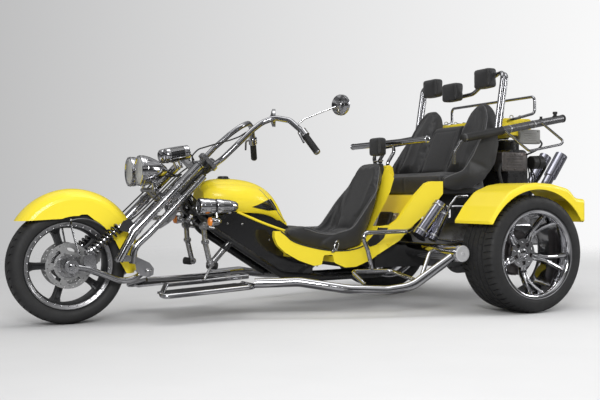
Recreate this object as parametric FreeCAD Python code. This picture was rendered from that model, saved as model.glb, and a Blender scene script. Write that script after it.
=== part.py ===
import FreeCAD, Part
import math
import os

# Motorized trike: one steered front wheel on a raked springer fork, two wide
# rear wheels, a driver's bucket seat and a three-place rear bench.
# Working frame while modelling: X = 0 at the front axle, +X forward, +Y left,
# +Z up, ground at Z = 0, millimetres.  Everything is shifted by X_SHIFT at
# export so that the row frame has its origin at the centre of the footprint.

V = FreeCAD.Vector
OUT = "parts"
os.makedirs(OUT, exist_ok=True)

# ---------------------------------------------------------------- dimensions
WHEELBASE = 2446.0
FT_R, FT_W = 312.0, 190.0          # front tyre radius, width
FR_R = 233.0                       # front rim flange radius
RT_R, RT_W = 336.0, 290.0          # rear tyre radius, width
RR_R = 257.0                       # rear rim flange radius
RT_Y = 785.0                       # rear tyre centre plane, either side
RAKE = 45.5                        # steering axis from the vertical, degrees
HEAD = V(-741.5, 0, 784.0)         # a point of the steering axis
LEG_Y = 196.0                      # fork leg centre plane
LEG_R, LEG2_R = 24.0, 19.0         # front and rear tube of each leg
ARM_Y = 150.0                      # leading arm centre plane
PIVOT_X, PIVOT_Z = -394.0, 276.0   # leading arm pivot
AXLE_R = 11.0
TORSION_X, TORSION_Z = -2040.0, 345.0
TORSION_R, TORSION_HALF = 45.0, 770.0
SEAT_HALF = 225.0                  # driver's seat half width
BENCH_HALF = 430.0                 # passenger bench half width
RAIL_Y, RAIL_R = 130.0, 20.0       # lower frame rails
X_SHIFT = 0.0                      # set below from the overall box

ax = V(-math.sin(math.radians(RAKE)), 0, math.cos(math.radians(RAKE)))  # up the steering axis
perp = V(-math.cos(math.radians(RAKE)), 0, -math.sin(math.radians(RAKE)))  # behind and below it
FLOOR = V(0, 0, 0)

parts = {}


def add(name, *shapes):
    parts.setdefault(name, []).extend(shapes)


def on_axis(up, back=0.0, y=0.0):
    """A point measured along the steering axis from HEAD, then square to it."""
    return HEAD + ax * up + perp * back + V(0, y, 0)


def cyl(p, q, r, r2=None):
    d = q - p
    if r2 is None:
        return Part.makeCylinder(r, d.Length, p, d)
    return Part.makeCone(r, r2, d.Length, p, d)


def ring(p, q, ro, ri):
    return cyl(p, q, ro).cut(cyl(p, q, ri))


def box(x0, x1, y0, y1, z0, z1):
    return Part.makeBox(abs(x1 - x0), abs(y1 - y0), abs(z1 - z0),
                        V(min(x0, x1), min(y0, y1), min(z0, z1)))


def path(points, bend):
    """Straight runs joined by tangent arcs.  bend is one radius or a list for
    the inner points; each is cut to what its two runs allow."""
    pts = [V(*p) for p in points]
    n = len(pts)
    edges = []
    start = pts[0]
    for i in range(1, n - 1):
        a, b, c = pts[i - 1], pts[i], pts[i + 1]
        u = (a - b).normalize()
        w = (c - b).normalize()
        ang = math.pi - u.getAngle(w)
        if ang < 1e-3:
            continue
        r = bend[i - 1] if isinstance(bend, (list, tuple)) else bend
        lim = 0.47 * min((a - b).Length, (c - b).Length) / math.tan(ang / 2)
        r = min(r, lim)
        t = r * math.tan(ang / 2)
        p1, p2 = b + u * t, b + w * t
        bis = (u + w).normalize()
        mid = b + bis * (r / math.cos(ang / 2) - r)
        edges.append(Part.LineSegment(start, p1).toShape())
        edges.append(Part.Arc(p1, mid, p2).toShape())
        start = p2
    edges.append(Part.LineSegment(start, pts[-1]).toShape())
    return Part.Wire(edges)


def tube(points, r, bend=60.0):
    w = path(points, bend)
    p, q = V(*points[0]), V(*points[1])
    prof = Part.Wire([Part.makeCircle(r, p, q - p)])
    s = w.makePipeShell([prof], True, False)
    if not s.isValid() or s.Volume < 0:
        s = s.copy()
        s.reverse()
    return s


def mirror(s):
    return s.mirror(V(0, 0, 0), V(0, 1, 0))


def both(s):
    return [s, mirror(s)]


def plate(pts, y0, y1):
    """Side-view outline (x, z) carried from y0 to y1."""
    w = Part.makePolygon([V(x, y0, z) for x, z in pts] + [V(pts[0][0], y0, pts[0][1])])
    return Part.Face(w).extrude(V(0, y1 - y0, 0))


def rplate(pts, radii, y0, y1):
    """As plate, with each corner rounded in the side view by its radius."""
    n = len(pts)
    edges = []
    ends = []
    for i in range(n):
        b = V(pts[i][0], y0, pts[i][1])
        a = V(pts[i - 1][0], y0, pts[i - 1][1])
        c = V(pts[(i + 1) % n][0], y0, pts[(i + 1) % n][1])
        r = radii[i] if isinstance(radii, (list, tuple)) else radii
        u, w = (a - b).normalize(), (c - b).normalize()
        ang = math.pi - u.getAngle(w)
        if r <= 0 or ang < 1e-3:
            ends.append((b, None, b))
            continue
        r = min(r, 0.47 * min((a - b).Length, (c - b).Length) / math.tan(ang / 2))
        t = r * math.tan(ang / 2)
        ends.append((b + u * t, b + (u + w).normalize() * (r / math.cos(ang / 2) - r), b + w * t))
    for i in range(n):
        p1, m, p2 = ends[i]
        if m is not None:
            edges.append(Part.Arc(p1, m, p2).toShape())
        edges.append(Part.LineSegment(p2, ends[(i + 1) % n][0]).toShape())
    return Part.Face(Part.Wire(edges)).extrude(V(0, y1 - y0, 0))


def turned(prof, cx, cz, angle=360.0, start=None):
    """Revolve an (r, y) outline about the line through (cx, *, cz) along Y."""
    w = Part.makePolygon([V(cx + r, y, cz) for r, y in prof] + [V(cx + prof[0][0], prof[0][1], cz)])
    f = Part.Face(w)
    if start is not None:
        f.rotate(V(cx, 0, cz), V(0, 1, 0), start)
    return f.revolve(V(cx, 0, cz), V(0, 1, 0), angle)


def softened(s, r, test):
    """Round the edges for which test(edge) holds; keep the plain solid if that fails."""
    es = [e for e in s.Edges if test(e)]
    for k in (r, r * 0.6, r * 0.35):
        try:
            t = s.makeFillet(k, es)
            if t.isValid() and t.Volume > 0:
                return t
        except Exception:
            pass
    return s


def shift_y(s, y):
    s = s.copy()
    s.translate(V(0, y, 0))
    return s


# ---------------------------------------------------------------- wheels
def tyre(r, w, bead, rf, sy, cx, cy, cz):
    """rf and sy are the rim's flange radius and half width, which the bead seats inside."""
    h = w / 2.0
    half = [(bead, sy - 11), (rf, sy - 8), (rf + 4, sy + 3), (r - 0.42 * (r - bead), h), (r - 16, h * 0.94),
            (r - 4, h * 0.82), (r, h * 0.45)]
    prof = [(a, -b) for a, b in half] + [(a, b) for a, b in reversed(half)]
    return shift_y(turned(prof, cx, cz), cy)


def rim(rf, w, bead, seat_y, cx, cy, cz):
    """Barrel and flanges; rf flange radius, seat_y half width over the flanges."""
    prof = [(rf - 26, -seat_y), (rf, -seat_y), (rf, -seat_y + 7), (bead - 0.3, -seat_y + 10),
            (bead - 0.3, seat_y - 10), (rf, seat_y - 7), (rf, seat_y), (rf - 26, seat_y),
            (rf - 34, seat_y - 16), (rf - 38, 0), (rf - 34, -seat_y + 16)]
    return shift_y(turned(prof, cx, cz), cy)


FW = V(0, 0, FT_R)
F_BEAD = FR_R - 14
add("front_tyre", tyre(FT_R, FT_W, F_BEAD, FR_R, 82, 0, 0, FT_R))
f_rim = rim(FR_R, FT_W, F_BEAD, 82, 0, 0, FT_R)
hub = cyl(V(0, -62, FT_R), V(0, 62, FT_R), 42)
spokes = []
for k in range(5):
    sp = box(30, FR_R - 30, -24, 24, FT_R - 17, FT_R + 17)
    slot1 = box(62, FR_R - 48, 12, 30, FT_R - 7, FT_R + 7)
    slot2 = box(62, FR_R - 48, -30, -12, FT_R - 7, FT_R + 7)
    sp = sp.cut(slot1).cut(slot2)
    sp.rotate(FW, V(0, 1, 0), 72 * k)
    spokes.append(sp)
f_rim = f_rim.fuse([hub] + spokes).cut(cyl(V(0, -90, FT_R), V(0, 90, FT_R), AXLE_R + 0.05))
add("front_rim", f_rim)
for s in (1, -1):
    d = ring(V(0, s * 66, FT_R), V(0, s * 71, FT_R), 122, 74)
    carrier = ring(V(0, s * 62, FT_R), V(0, s * 73, FT_R), 80, 30)
    add("front_discs", d.fuse(carrier))

add("front_axle", cyl(V(0, -ARM_Y - 24, FT_R), V(0, ARM_Y + 24, FT_R), AXLE_R),
    )

RWX, RWZ = -WHEELBASE, RT_R
R_BEAD = RR_R - 16
R_FACE = 12.0     # spoke face, outboard of the tyre's centre plane
STUB_R = 17.0
for side, s in (("left", 1), ("right", -1)):
    add("rear_tyre_" + side, tyre(RT_R, RT_W, R_BEAD, RR_R, 139, RWX, s * RT_Y, RWZ))
    r = rim(RR_R, RT_W, R_BEAD, 139, RWX, 0, RWZ)
    face = [cyl(V(RWX, R_FACE - 45, RWZ), V(RWX, R_FACE + 4, RWZ), 74)]
    for k in range(5):
        for side_k in (-1, 1):
            side_view = [V(40, R_FACE - 30, -9), V(40, R_FACE - 4, -9), V(120, R_FACE + 2, -9), V(RR_R - 30, 116, -9),
                         V(RR_R - 30, 88, -9), V(120, R_FACE - 24, -9)]
            sp = Part.Face(Part.makePolygon(side_view + [side_view[0]])).extrude(V(0, 0, 18))
            sp.translate(V(0, 0, side_k * 15))
            sp.rotate(V(0, 0, 0), V(0, 1, 0), side_k * -3)
            sp.rotate(V(0, 0, 0), V(0, 1, 0), 90 + 72 * k)
            sp.translate(V(RWX, 0, RWZ))
            face.append(sp)
    drum = cyl(V(RWX, -118, RWZ), V(RWX, R_FACE - 45, RWZ), 132)
    w = r.fuse(face + [drum]).cut(cyl(V(RWX, -140, RWZ), V(RWX, 0, RWZ), STUB_R + 0.05))
    if s < 0:
        w = mirror(w)
    w.translate(V(0, s * RT_Y, 0))
    add("rear_rim_" + side, w)

# ---------------------------------------------------------------- springer fork
# Per leg: the front tube runs straight from the top clamp, turns down behind
# the tyre and ends on the arm's pivot lug; the rear tube follows it.
leg = tube([(-684, LEG_Y, 846), (-322, LEG_Y, 490), (-236, LEG_Y, 338)], LEG_R, 80)
collar = cyl(V(-345, LEG_Y, 513), V(-316, LEG_Y, 484), LEG_R + 4)
collar2 = cyl(V(-500, LEG_Y, 665), V(-484, LEG_Y, 649), LEG_R + 4)
leg2 = tube([(-716, LEG_Y, 786), (-405, LEG_Y, 480), (-318, LEG_Y, 405), (-310, LEG_Y, 320)], LEG2_R, 110)
lug = rplate([(-212, 352), (-262, 372), (-334, 354), (-400, 322), (-424, 290), (-420, 256), (-392, 244), (-346, 258), (-326, 286),
              (-320, 330), (-250, 334), (-222, 330)], 8, LEG_Y - 14, LEG_Y + 14)
leg_all = leg.fuse([collar, collar2, leg2, lug])
add("fork_legs", *both(leg_all))

# Leading arm: a bowed bar from the axle under the leg to the pivot.
arm = tube([(0, ARM_Y, 312), (-78, ARM_Y, 300), (-170, ARM_Y, 262), (-262, ARM_Y, 224), (-334, ARM_Y, 234),
            (PIVOT_X, ARM_Y, PIVOT_Z)], 17, [160, 160, 160, 120])
eye = cyl(V(0, ARM_Y - 18, 312), V(0, ARM_Y + 18, 312), 34)
peye = cyl(V(PIVOT_X, ARM_Y - 20, PIVOT_Z), V(PIVOT_X, ARM_Y + 20, PIVOT_Z), 30)
mount = rplate([(-60, 330), (-60, 372), (-118, 372), (-130, 300), (-100, 262)], 10, ARM_Y - 9, ARM_Y + 9)
arm = arm.fuse([eye, peye, mount])
pivot = cyl(V(PIVOT_X, ARM_Y + 20, PIVOT_Z), V(PIVOT_X, LEG_Y + 18, PIVOT_Z), 12)
arm = arm.fuse(pivot).cut(cyl(V(0, ARM_Y - 30, 312), V(0, ARM_Y + 30, 312), AXLE_R))
add("swing_arm", *both(arm))
parts["swing_arm"][0:2] = [parts["swing_arm"][0], parts["swing_arm"][1]]
brace = cyl(V(PIVOT_X, -ARM_Y + 19, PIVOT_Z), V(PIVOT_X, ARM_Y - 19, PIVOT_Z), 16)
parts["swing_arm"] = [parts["swing_arm"][0].fuse([parts["swing_arm"][1], brace])]
# the pivots pass through the lugs
parts["fork_legs"] = [s.cut(cyl(V(PIVOT_X, -260, PIVOT_Z), V(PIVOT_X, 260, PIVOT_Z), 12)) for s in parts["fork_legs"]]

# Coil-over units, lower eye on the arm, upper eye under the front tube.
SH_A, SH_B = V(-92, ARM_Y, 384), V(-262, ARM_Y, 520)
dsh = (SH_B - SH_A).normalize()
unit = cyl(SH_A + dsh * 14, SH_B - dsh * 16, 10)
coil = cyl(SH_A + dsh * 34, SH_B - dsh * 62, 27)
can = cyl(SH_B - dsh * 60, SH_B - dsh * 22, 21)
eyes = [cyl(SH_A + dsh * 6 + V(0, -13, 0), SH_A + dsh * 6 + V(0, 13, 0), 15),
        cyl(SH_B - dsh * 6 + V(0, -13, 0), SH_B - dsh * 6 + V(0, 26, 0), 15)]
shock = unit.fuse([coil, can] + eyes)
add("front_shocks", *both(shock))
ear = rplate([(-236, 500), (-262, 548), (-300, 560), (-330, 520), (-300, 484)], 12, ARM_Y + 26, LEG_Y - 6)
for s in both(ear):
    parts["fork_legs"] = [parts["fork_legs"][0], parts["fork_legs"][1]]
parts["fork_legs"][0] = parts["fork_legs"][0].fuse(ear)
parts["fork_legs"][1] = parts["fork_legs"][1].fuse(mirror(ear))

# Clamps, stem, handlebar risers and lamp bracket.
def across(up, th, pts):
    """A plate square to the steering axis; pts are (forward, left) from the axis."""
    c = on_axis(up)
    w = [c - perp * x + V(0, y, 0) for x, y in pts]
    return Part.Face(Part.makePolygon(w + [w[0]])).extrude(ax * th)


EDGE = LEG_Y + 3
clamp_out = [(-24, -30), (-24, 30), (-2, 150), (-6, 186), (4, EDGE), (104, EDGE), (112, 186), (112, 150), (62, 110), (62, -110),
             (112, -150), (112, -186), (104, -EDGE), (4, -EDGE), (-6, -186), (-2, -150)]
stem_top, stem_low = on_axis(78), on_axis(-232)
clamp_all = cyl(stem_low, stem_top, 16).fuse([across(52, 24, clamp_out), across(-212, 28, clamp_out)])
for q in parts["fork_legs"]:
    clamp_all = clamp_all.cut(q)
for s in (1, -1):
    clamp_all = clamp_all.fuse(cyl(on_axis(76, 0, s * 44), V(-814, s * 44, 860), 16))
    clamp_all = clamp_all.fuse(cyl(V(-812, s * 44 - 15, 868), V(-812, s * 44 + 15, 868), 25))
add("fork_clamps", clamp_all)

# Handlebar: clamped in the middle, rises and comes back to the rider.
BAR_R = 16.0
bar_side = [(-812, 66, 868), (-797, 118, 848), (-835, 168, 884), (-925, 183, 970), (-1020, 168, 1052),
            (-1085, 160, 1098), (-1150, 195, 1124), (-1205, 275, 1105), (-1245, 350, 1040), (-1288, 433, 932)]
left = bar_side
right_ = [(x, -y, z) for x, y, z in reversed(bar_side)]
bar = tube(right_ + left, BAR_R, [60, 60, 60, 80, 200, 60, 60, 40, 40, 40, 40, 60, 60, 200, 80, 60, 60, 60])
add("handlebar", bar)
parts["fork_clamps"] = [q.cut(bar) for q in parts["fork_clamps"]]

for s in (1, -1):
    a = V(-1258, s * 376, 1007)
    b = V(-1290, s * 437, 927)
    d = (b - a).normalize()
    add("hand_grips", cyl(a, b + d * 12, 20).cut(bar))
    pod_c = V(-1228, s * 318, 1070)
    d2 = (V(-1258, s * 376, 1007) - V(-1215, s * 290, 1092)).normalize()
    pod = cyl(a - d * 46, a - d * 4, 26).cut(bar)
    lever = tube([tuple(a - d * 24 + V(20, 0, 6)), tuple(a - d * 2 + V(46, s * 8, 16)), tuple(a + d * 66 + V(54, s * 4, 14))], 6, 30)
    add("hand_controls", pod.fuse(lever))

# Control cable on the left: leaves the head of the left fork tube, arcs over and lies along the bar.
cable = tube([(-676, 186, 838), (-656, 182, 866), (-652, 180, 900), (-690, 180, 937), (-780, 180, 964), (-876, 181, 990), (-936, 181, 1012),
              (-980, 174, 1038)], 4, [30, 40, 60, 90, 200, 120, 60, 20])
for q in [bar] + parts["fork_legs"] + parts["fork_clamps"]:
    cable = cable.cut(q)
cable = max(cable.Solids, key=lambda q: q.Volume)
add("control_cable", cable)

MIR = V(-1440, 452, 1185)
mir_n = V(math.cos(math.radians(24)), math.sin(math.radians(24)), 0)   # the back faces forward and out
head_m = cyl(MIR - mir_n * 8, MIR + mir_n * 6, 58)
cap_m = cyl(MIR + mir_n * 6, MIR + mir_n * 18, 58, 36)
stem_m = tube([(-1232, 338, 1082), (-1262, 352, 1110), (-1418, 444, 1178), (-1430, 452, 1183)], 5, 20)
mir = head_m.fuse([cap_m, stem_m])
add("mirrors", *both(mir))

# Headlamps: two bullets side by side, and twin instrument cups above.
LAMP_R = 84.0
for s in (1, -1):
    c = V(-372, s * 100, 818)
    lprof = [(0, 0), (LAMP_R, 0), (LAMP_R, -30), (LAMP_R - 8, -62), (LAMP_R - 30, -112), (22, -158), (0, -166)]
    w = Part.makePolygon([V(x, 0, y) for x, y in lprof] + [V(0, 0, 0)])
    b = Part.Face(w).revolve(V(0, 0, 0), V(0, 0, 1), 360)
    b.rotate(V(0, 0, 0), V(0, 1, 0), 90)
    b.translate(c)
    foot = cyl(c + V(-84, 0, -66), c + V(-90, 0, -99), 10)
    lampb = b.fuse(foot).cut(cyl(V(-462, -140, 714), V(-462, 140, 714), 12))
    add("headlamps", max(lampb.Solids, key=lambda q: q.Volume))
lb = cyl(V(-462, -128, 714), V(-462, 128, 714), 12)
lb = lb.fuse([cyl(V(-462, s * 60, 714), V(-520, s * 60, 657), 9) for s in (1, -1)])
parts["fork_clamps"].append(lb)
for s in (1, -1):
    c = V(-532, s * 46, 900)
    d = V(-1, 0, 0.18).normalize()
    cup = cyl(c, c + d * 150, 41)
    foot = cyl(c + d * 90 + V(0, 0, -30), V(-640, s * 46, 838), 10)
    add("gauge_pods", cup.fuse(foot))

# Front mudguard: a domed arch, deep skirts, the tail carried down behind.
FGC = (-33.0, 372.0)
gR, gT = 350.0, 4.0
GH = 120.0


def arch(outer):
    k = 0.0 if outer else -gT
    pts = []
    for i in range(0, 13):
        a = math.pi * i / 12.0
        pts.append((gR - 58 + k * 1.0 + (58) * math.sin(a) if False else gR - 60 + (60 + k) * math.sin(a), (GH + k) * math.cos(a)))
    return pts


low = 205.0
sec = [(low, GH)] + arch(True) + [(low, -GH), (low, -GH + gT)] + list(reversed(arch(False))) + [(low, GH - gT)]
guard = turned(sec, FGC[0], FGC[1])
keep = rplate([(282, 552), (330, 552), (330, 760), (-460, 760), (-460, 262), (-300, 262), (-262, 330), (-262, 392),
               (-238, 440), (-188, 500), (-118, 562), (-90, 584), (-60, 584), (-20, 566)], 6, -200, 200)
guard = guard.common(keep)
add("front_fender", guard)
# Stays from the mudguard's skirt to the axle ends and to the fork.
for s in (1, -1):
    st = tube([(-2, s * 125.5, 556), (-2, s * 127, 530), (-34, s * 150, 380), (-50, s * 150, 368)], 5, 20)
    add("fender_stays", st)

# Calipers on the arm, over the discs.
for s in (1, -1):
    cal = rplate([(-78, 322), (-148, 318), (-158, 372), (-118, 404), (-82, 392)], 12, 78, 104)
    cal2 = rplate([(-96, 326), (-146, 322), (-154, 366), (-122, 392), (-92, 384)], 10, 60, 64)
    bridge = rplate([(-144, 330), (-158, 330), (-166, 376), (-146, 386)], 4, 60, 104)
    link = cyl(V(-112, 104, 332), V(-112, ARM_Y - 9, 332), 10)
    c = cal.fuse([bridge, link])
    add("brake_calipers", c if s > 0 else mirror(c))

# ---------------------------------------------------------------- frame
head_tube = ring(on_axis(-178), on_axis(48), 34, 16.05)
backbone = tube([(-670, 0, 686), (-800, 0, 562), (-960, 0, 516), (-1180, 0, 400), (-1300, 0, 300)], 28, 120)
rails = [tube([(-722, s * 30, 600), (-790, s * RAIL_Y, 490), (-1215, s * RAIL_Y, 214), (-1480, s * RAIL_Y, 186),
               (-1890, s * RAIL_Y, 190), (TORSION_X, s * RAIL_Y, TORSION_Z - 60)], RAIL_R, 120) for s in (1, -1)]
gusset = plate([(-644, 642), (-668, 664), (-702, 690), (-740, 640), (-800, 588), (-836, 560), (-800, 500), (-752, 508), (-694, 556),
                (-650, 602)], -26, 26)
gusset = gusset.cut(cyl(on_axis(-190), on_axis(60), 30))
cross = [cyl(V(x, -RAIL_Y, z), V(x, RAIL_Y, z), 16) for x, z in ((-1230, 208), (-1560, 187), (-1850, 190))]
mast = [cyl(V(TORSION_X + 6, s * RAIL_Y, TORSION_Z - 66), V(TORSION_X, s * RAIL_Y, TORSION_Z - 40), RAIL_R) for s in (1, -1)]
frame = head_tube.fuse([gusset, backbone] + rails + cross)
frame = frame.cut(cyl(on_axis(-190), on_axis(60), 16.05))
add("main_frame", frame)

# Transverse torsion tube with domed ends.
tt = cyl(V(TORSION_X, -TORSION_HALF + 60, TORSION_Z), V(TORSION_X, TORSION_HALF - 60, TORSION_Z), TORSION_R)
ends_t = [cyl(V(TORSION_X, s * (TORSION_HALF - 60), TORSION_Z), V(TORSION_X, s * (TORSION_HALF - 22), TORSION_Z), TORSION_R + 3)
          for s in (1, -1)]
ends_c = [cyl(V(TORSION_X, s * (TORSION_HALF - 22), TORSION_Z), V(TORSION_X, s * TORSION_HALF, TORSION_Z), TORSION_R + 3, 16)
          for s in (1, -1)]
tt = tt.fuse(ends_t + ends_c)
for q in rails:
    tt = tt.cut(q)
add("torsion_tube", tt)

# Trailing arms from the torsion tube to the stub axles.
for s in (1, -1):
    a = rplate([(TORSION_X - 30, 300), (TORSION_X - 30, 392), (-2400, 400), (RWX - 60, 396), (RWX - 60, 276), (-2400, 280)],
               20, 560, 600)
    stub = cyl(V(RWX, 540, RWZ), V(RWX, RT_Y - 6, RWZ), STUB_R)
    hubc = cyl(V(RWX, 520, RWZ), V(RWX, 640, RWZ), 60)
    half = cyl(V(RWX, 150, RWZ), V(RWX, 520, RWZ), 26)
    t = a.fuse([hubc, stub, half])
    t = t.cut(tt)
    add("trailing_arms", t if s > 0 else mirror(t))

# Transaxle and engine, as plain heavy blocks at their real place and size.
trans = cyl(V(-2140, 0, RWZ + 10), V(-2560, 0, RWZ + 10), 120, 150)
trans = trans.fuse(cyl(V(-2560, 0, RWZ + 10), V(-2640, 0, RWZ + 10), 190))
nose = cyl(V(-2140, 0, RWZ + 10), V(-2086, 0, RWZ + 10), 70)
trans = trans.fuse(nose).cut(parts["trailing_arms"][0]).cut(parts["trailing_arms"][1])
add("transaxle", trans)
blk = box(-2640, -3040, -200, 200, 300, 600)
banks = [box(-2690, -2990, s * 200, s * 390, 340, 520) for s in (1, -1)]
add("engine_block", blk.fuse(banks))
shroud = rplate([(-2690, 600), (-2690, 960), (-2850, 960), (-2850, 600)], 40, -370, 370)
fan = cyl(V(-2850, 0, 810), V(-3010, 0, 810), 88)
belt = cyl(V(-3010, 0, 810), V(-3040, 0, 810), 62)
air = cyl(V(-2930, 60, 950), V(-2930, 60, 1040), 86)
intake = box(-2880, -3000, -60, 180, 930, 1000)
add("engine_cooling", shroud.fuse([fan, belt]))
add("engine_cooling", air.fuse(cyl(V(-2930, 60, 880), V(-2930, 60, 960), 40)).cut(fan))

# Exhaust: a transverse silencer under the tail and two upswept tips.
muff = cyl(V(-3150, -330, 430), V(-3150, 330, 430), 82)
tips = []
for y in (-80, 80):
    t = tube([(-3150, y, 480), (-3190, y, 620), (-3262, y, 748), (-3350, y, 872)], 34, 120)
    t2 = cyl(V(-3296, y, 796), V(-3402, y, 946), 43)
    t2 = t2.cut(cyl(V(-3351, y, 873.5), V(-3413, y, 961), 37))
    tips.append(t.fuse(t2))
add("exhaust", muff.fuse(tips))

# Rear shock absorbers, upright ahead of the axle.
for s in (1, -1):
    p, q = V(-2360, 500, 380), V(-2330, 470, 660)
    d = (q - p).normalize()
    sh = cyl(p, q, 12).fuse([cyl(p + d * 40, q - d * 60, 32)])
    sh = sh.fuse(cyl(p + V(0, 0, 0), V(-2360, 560, 380), 14))
    sh = sh.cut(parts["trailing_arms"][0])
    add("rear_shocks", sh if s > 0 else mirror(sh))

# ---------------------------------------------------------------- rear mudguards
for side, s in (("left", 1), ("right", -1)):
    outer = [(-2112, 528), (-2172, 612), (-2252, 692), (-2352, 730), (-2440, 742), (-2560, 734), (-2680, 706),
             (-2730, 652), (-2800, 646), (-2800, 512), (-2752, 512)]
    o = rplate(outer + [(-2752, 300), (-2112, 300)], [4, 90, 90, 120, 120, 120, 90, 60, 12, 6, 0, 0, 0], 600, 936)
    o = softened(o, 26, lambda e: all(abs(v.Point.y - 936) < 0.5 and v.Point.z > 505 for v in e.Vertexes))
    inner = [(-2117, 520), (-2178, 606), (-2257, 685), (-2355, 722), (-2440, 734), (-2558, 726), (-2676, 698),
             (-2726, 646), (-2794, 640), (-2794, 505)]
    i = rplate(inner + [(-2794, 250), (-2117, 250)], [4, 90, 90, 120, 120, 120, 90, 60, 12, 0, 0, 0], 560, 929)
    i = softened(i, 21, lambda e: all(abs(v.Point.y - 929) < 0.5 and v.Point.z > 505 for v in e.Vertexes))
    m = o.cut(i).cut(cyl(V(RWX, 500, RWZ), V(RWX, 1000, RWZ), 368))
    m = m.cut(box(-3000, -1900, 500, 1000, 200, 512))
    rr = plate([(-2740, 512), (-2800, 512), (-2800, 640), (-2740, 640)], 600, 606)
    m = m.fuse(rr)
    add("rear_fender_" + side, m if s > 0 else mirror(m))
for s in (1, -1):
    t = box(-2800, -2824, 690, 850, 545, 605)
    add("signal_lamps", t if s > 0 else mirror(t))

# ---------------------------------------------------------------- tank and bodywork
def dome(x, w, zb, zt, pinch=0.62):
    """Tank section at x: flat bottom, rounded sides and crown."""
    zs = zt - (zt - zb) * 0.17
    a, b, c, d = V(x, -w * 0.80, zb), V(x, -w * pinch, zs), V(x, w * pinch, zs), V(x, w * 0.80, zb)
    zm = zb + (zt - zb) * 0.42
    e = [Part.Arc(a, V(x, -w, zm), b).toShape(), Part.Arc(b, V(x, 0, zt), c).toShape(),
         Part.Arc(c, V(x, w, zm), d).toShape(), Part.LineSegment(d, a).toShape()]
    return Part.Wire(e)


tank_rows = [  # x, half width, bottom z, top z
    (-752, 92, 640, 716), (-792, 134, 614, 762), (-880, 164, 594, 777), (-980, 172, 582, 774), (-1080, 156, 575, 754),
    (-1170, 122, 554, 706), (-1236, 84, 516, 622), (-1291, 50, 482, 530)]
tank = Part.makeLoft([dome(*r) for r in tank_rows], True, False).cut(frame)
tank = max(tank.Solids, key=lambda q: q.Volume)
add("fuel_tank", tank)

fair = rplate([(-800, 560), (-790, 508), (-1215, 238), (-1300, 212), (-1420, 210), (-1420, 262), (-1300, 300), (-1290, 440),
               (-1284, 452), (-1250, 464), (-1175, 489), (-1093, 519), (-1018, 550), (-935, 586)], 8, -RAIL_Y - 2, RAIL_Y + 2)
fair = fair.fuse(plate([(-1000, 540), (-1284, 430), (-1284, 494), (-1170, 572), (-1060, 596)], -80, 80))
fair = fair.cut(box(-840, -700, -29, 29, 400, 700)).cut(cyl(V(-722, -30, 600), V(-790, -RAIL_Y, 490), RAIL_R + 2))
for q in rails + [backbone, gusset, tank] + cross:
    fair = fair.cut(q)
fair = max(fair.Solids, key=lambda q: q.Volume)
add("neck_fairing", fair)

seat_pts = [(-1212, 446), (-1222, 484), (-1345, 506), (-1440, 470), (-1560, 446), (-1650, 446), (-1712, 486), (-1890, 876),
            (-1925, 900), (-1962, 886), (-1968, 850), (-1790, 452), (-1700, 372), (-1590, 346), (-1480, 350), (-1330, 380)]
seat = rplate(seat_pts, [10, 20, 60, 120, 150, 120, 80, 20, 20, 18, 20, 90, 80, 120, 120, 120], -SEAT_HALF + 12, SEAT_HALF - 12)
wing_pts = [(-1560, 470), (-1640, 480), (-1690, 545), (-1770, 650), (-1838, 716), (-1905, 850), (-1940, 850), (-1790, 452), (-1700, 372),
            (-1590, 346), (-1480, 350), (-1440, 400)]
wing = rplate(wing_pts, [30, 60, 80, 90, 30, 20, 10, 90, 80, 120, 60, 20], SEAT_HALF - 46, SEAT_HALF)
seat = seat.fuse([wing, mirror(wing)])
crown = [(SEAT_HALF, 340), (SEAT_HALF, 672), (206, 716), (172, 740), (160, 800), (134, 868), (92, 905)]
crown = crown + [(-y, z) for y, z in reversed(crown)]
w = Part.makePolygon([V(-1200, y, z) for y, z in crown] + [V(-1200, crown[0][0], crown[0][1])])
seat = seat.common(Part.Face(w).extrude(V(-900, 0, 0)))


def wrap(edge, y_edge):
    """Cutters that turn the sides of the back forward in plan; edge is the rear line (x, z) at y_edge."""
    far = edge + [(-2300, edge[-1][1]), (-2300, edge[0][1])]
    c = plate(far, 90, y_edge + 60)
    m = FreeCAD.Matrix()
    m.A12, m.A14 = WRAP, -WRAP * y_edge
    c = c.transformGeometry(m)
    return [c, mirror(c)]


WRAP = 0.62                        # forward turn of the seat back's sides, mm per mm of width
seat = seat.cut(wrap([(-1672, 340), (-1690, 374), (-1752, 517), (-1808, 650), (-1838, 760), (-1842, 940)], 232))
seat = seat.cut(tank).cut(fair)
seat = max(seat.Solids, key=lambda q: q.Volume)
add("driver_seat", seat)

TUB = 268.0
tub_low = [(-1112, 476), (-1110, 440), (-1130, 394), (-1180, 350), (-1262, 305), (-1360, 270), (-1410, 274), (-1424, 330),
           (-1482, 330), (-1496, 282), (-1564, 252), (-1640, 254), (-1742, 290), (-1829, 346), (-1842, 470), (-1806, 500),
           (-1779, 456), (-1697, 376), (-1590, 350), (-1498, 352), (-1367, 372), (-1270, 398), (-1207, 426), (-1165, 474)]
tub = rplate(tub_low, [8, 30, 50, 80, 80, 16, 14, 14, 14, 16, 30, 40, 60, 10, 10, 20, 90, 80, 120, 120, 80, 40, 20, 8], -TUB, TUB)
tub = tub.cut(seat).cut(fair).cut(box(-1228, -1090, -236, 236, 296, 480))
shell = rplate([(-1778, 440), (-1950, 838), (-1985, 868), (-2010, 850), (-2020, 800), (-1968, 700), (-1880, 560), (-1830, 440)],
               [10, 20, 14, 16, 30, 60, 60, 10], -252, 252)
shell = shell.cut(wrap([(-1700, 380), (-1718, 421), (-1795, 539), (-1837, 605), (-1888, 695), (-1917, 780), (-1866, 846), (-1866, 940)], 252))
shell = shell.cut(seat)
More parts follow.
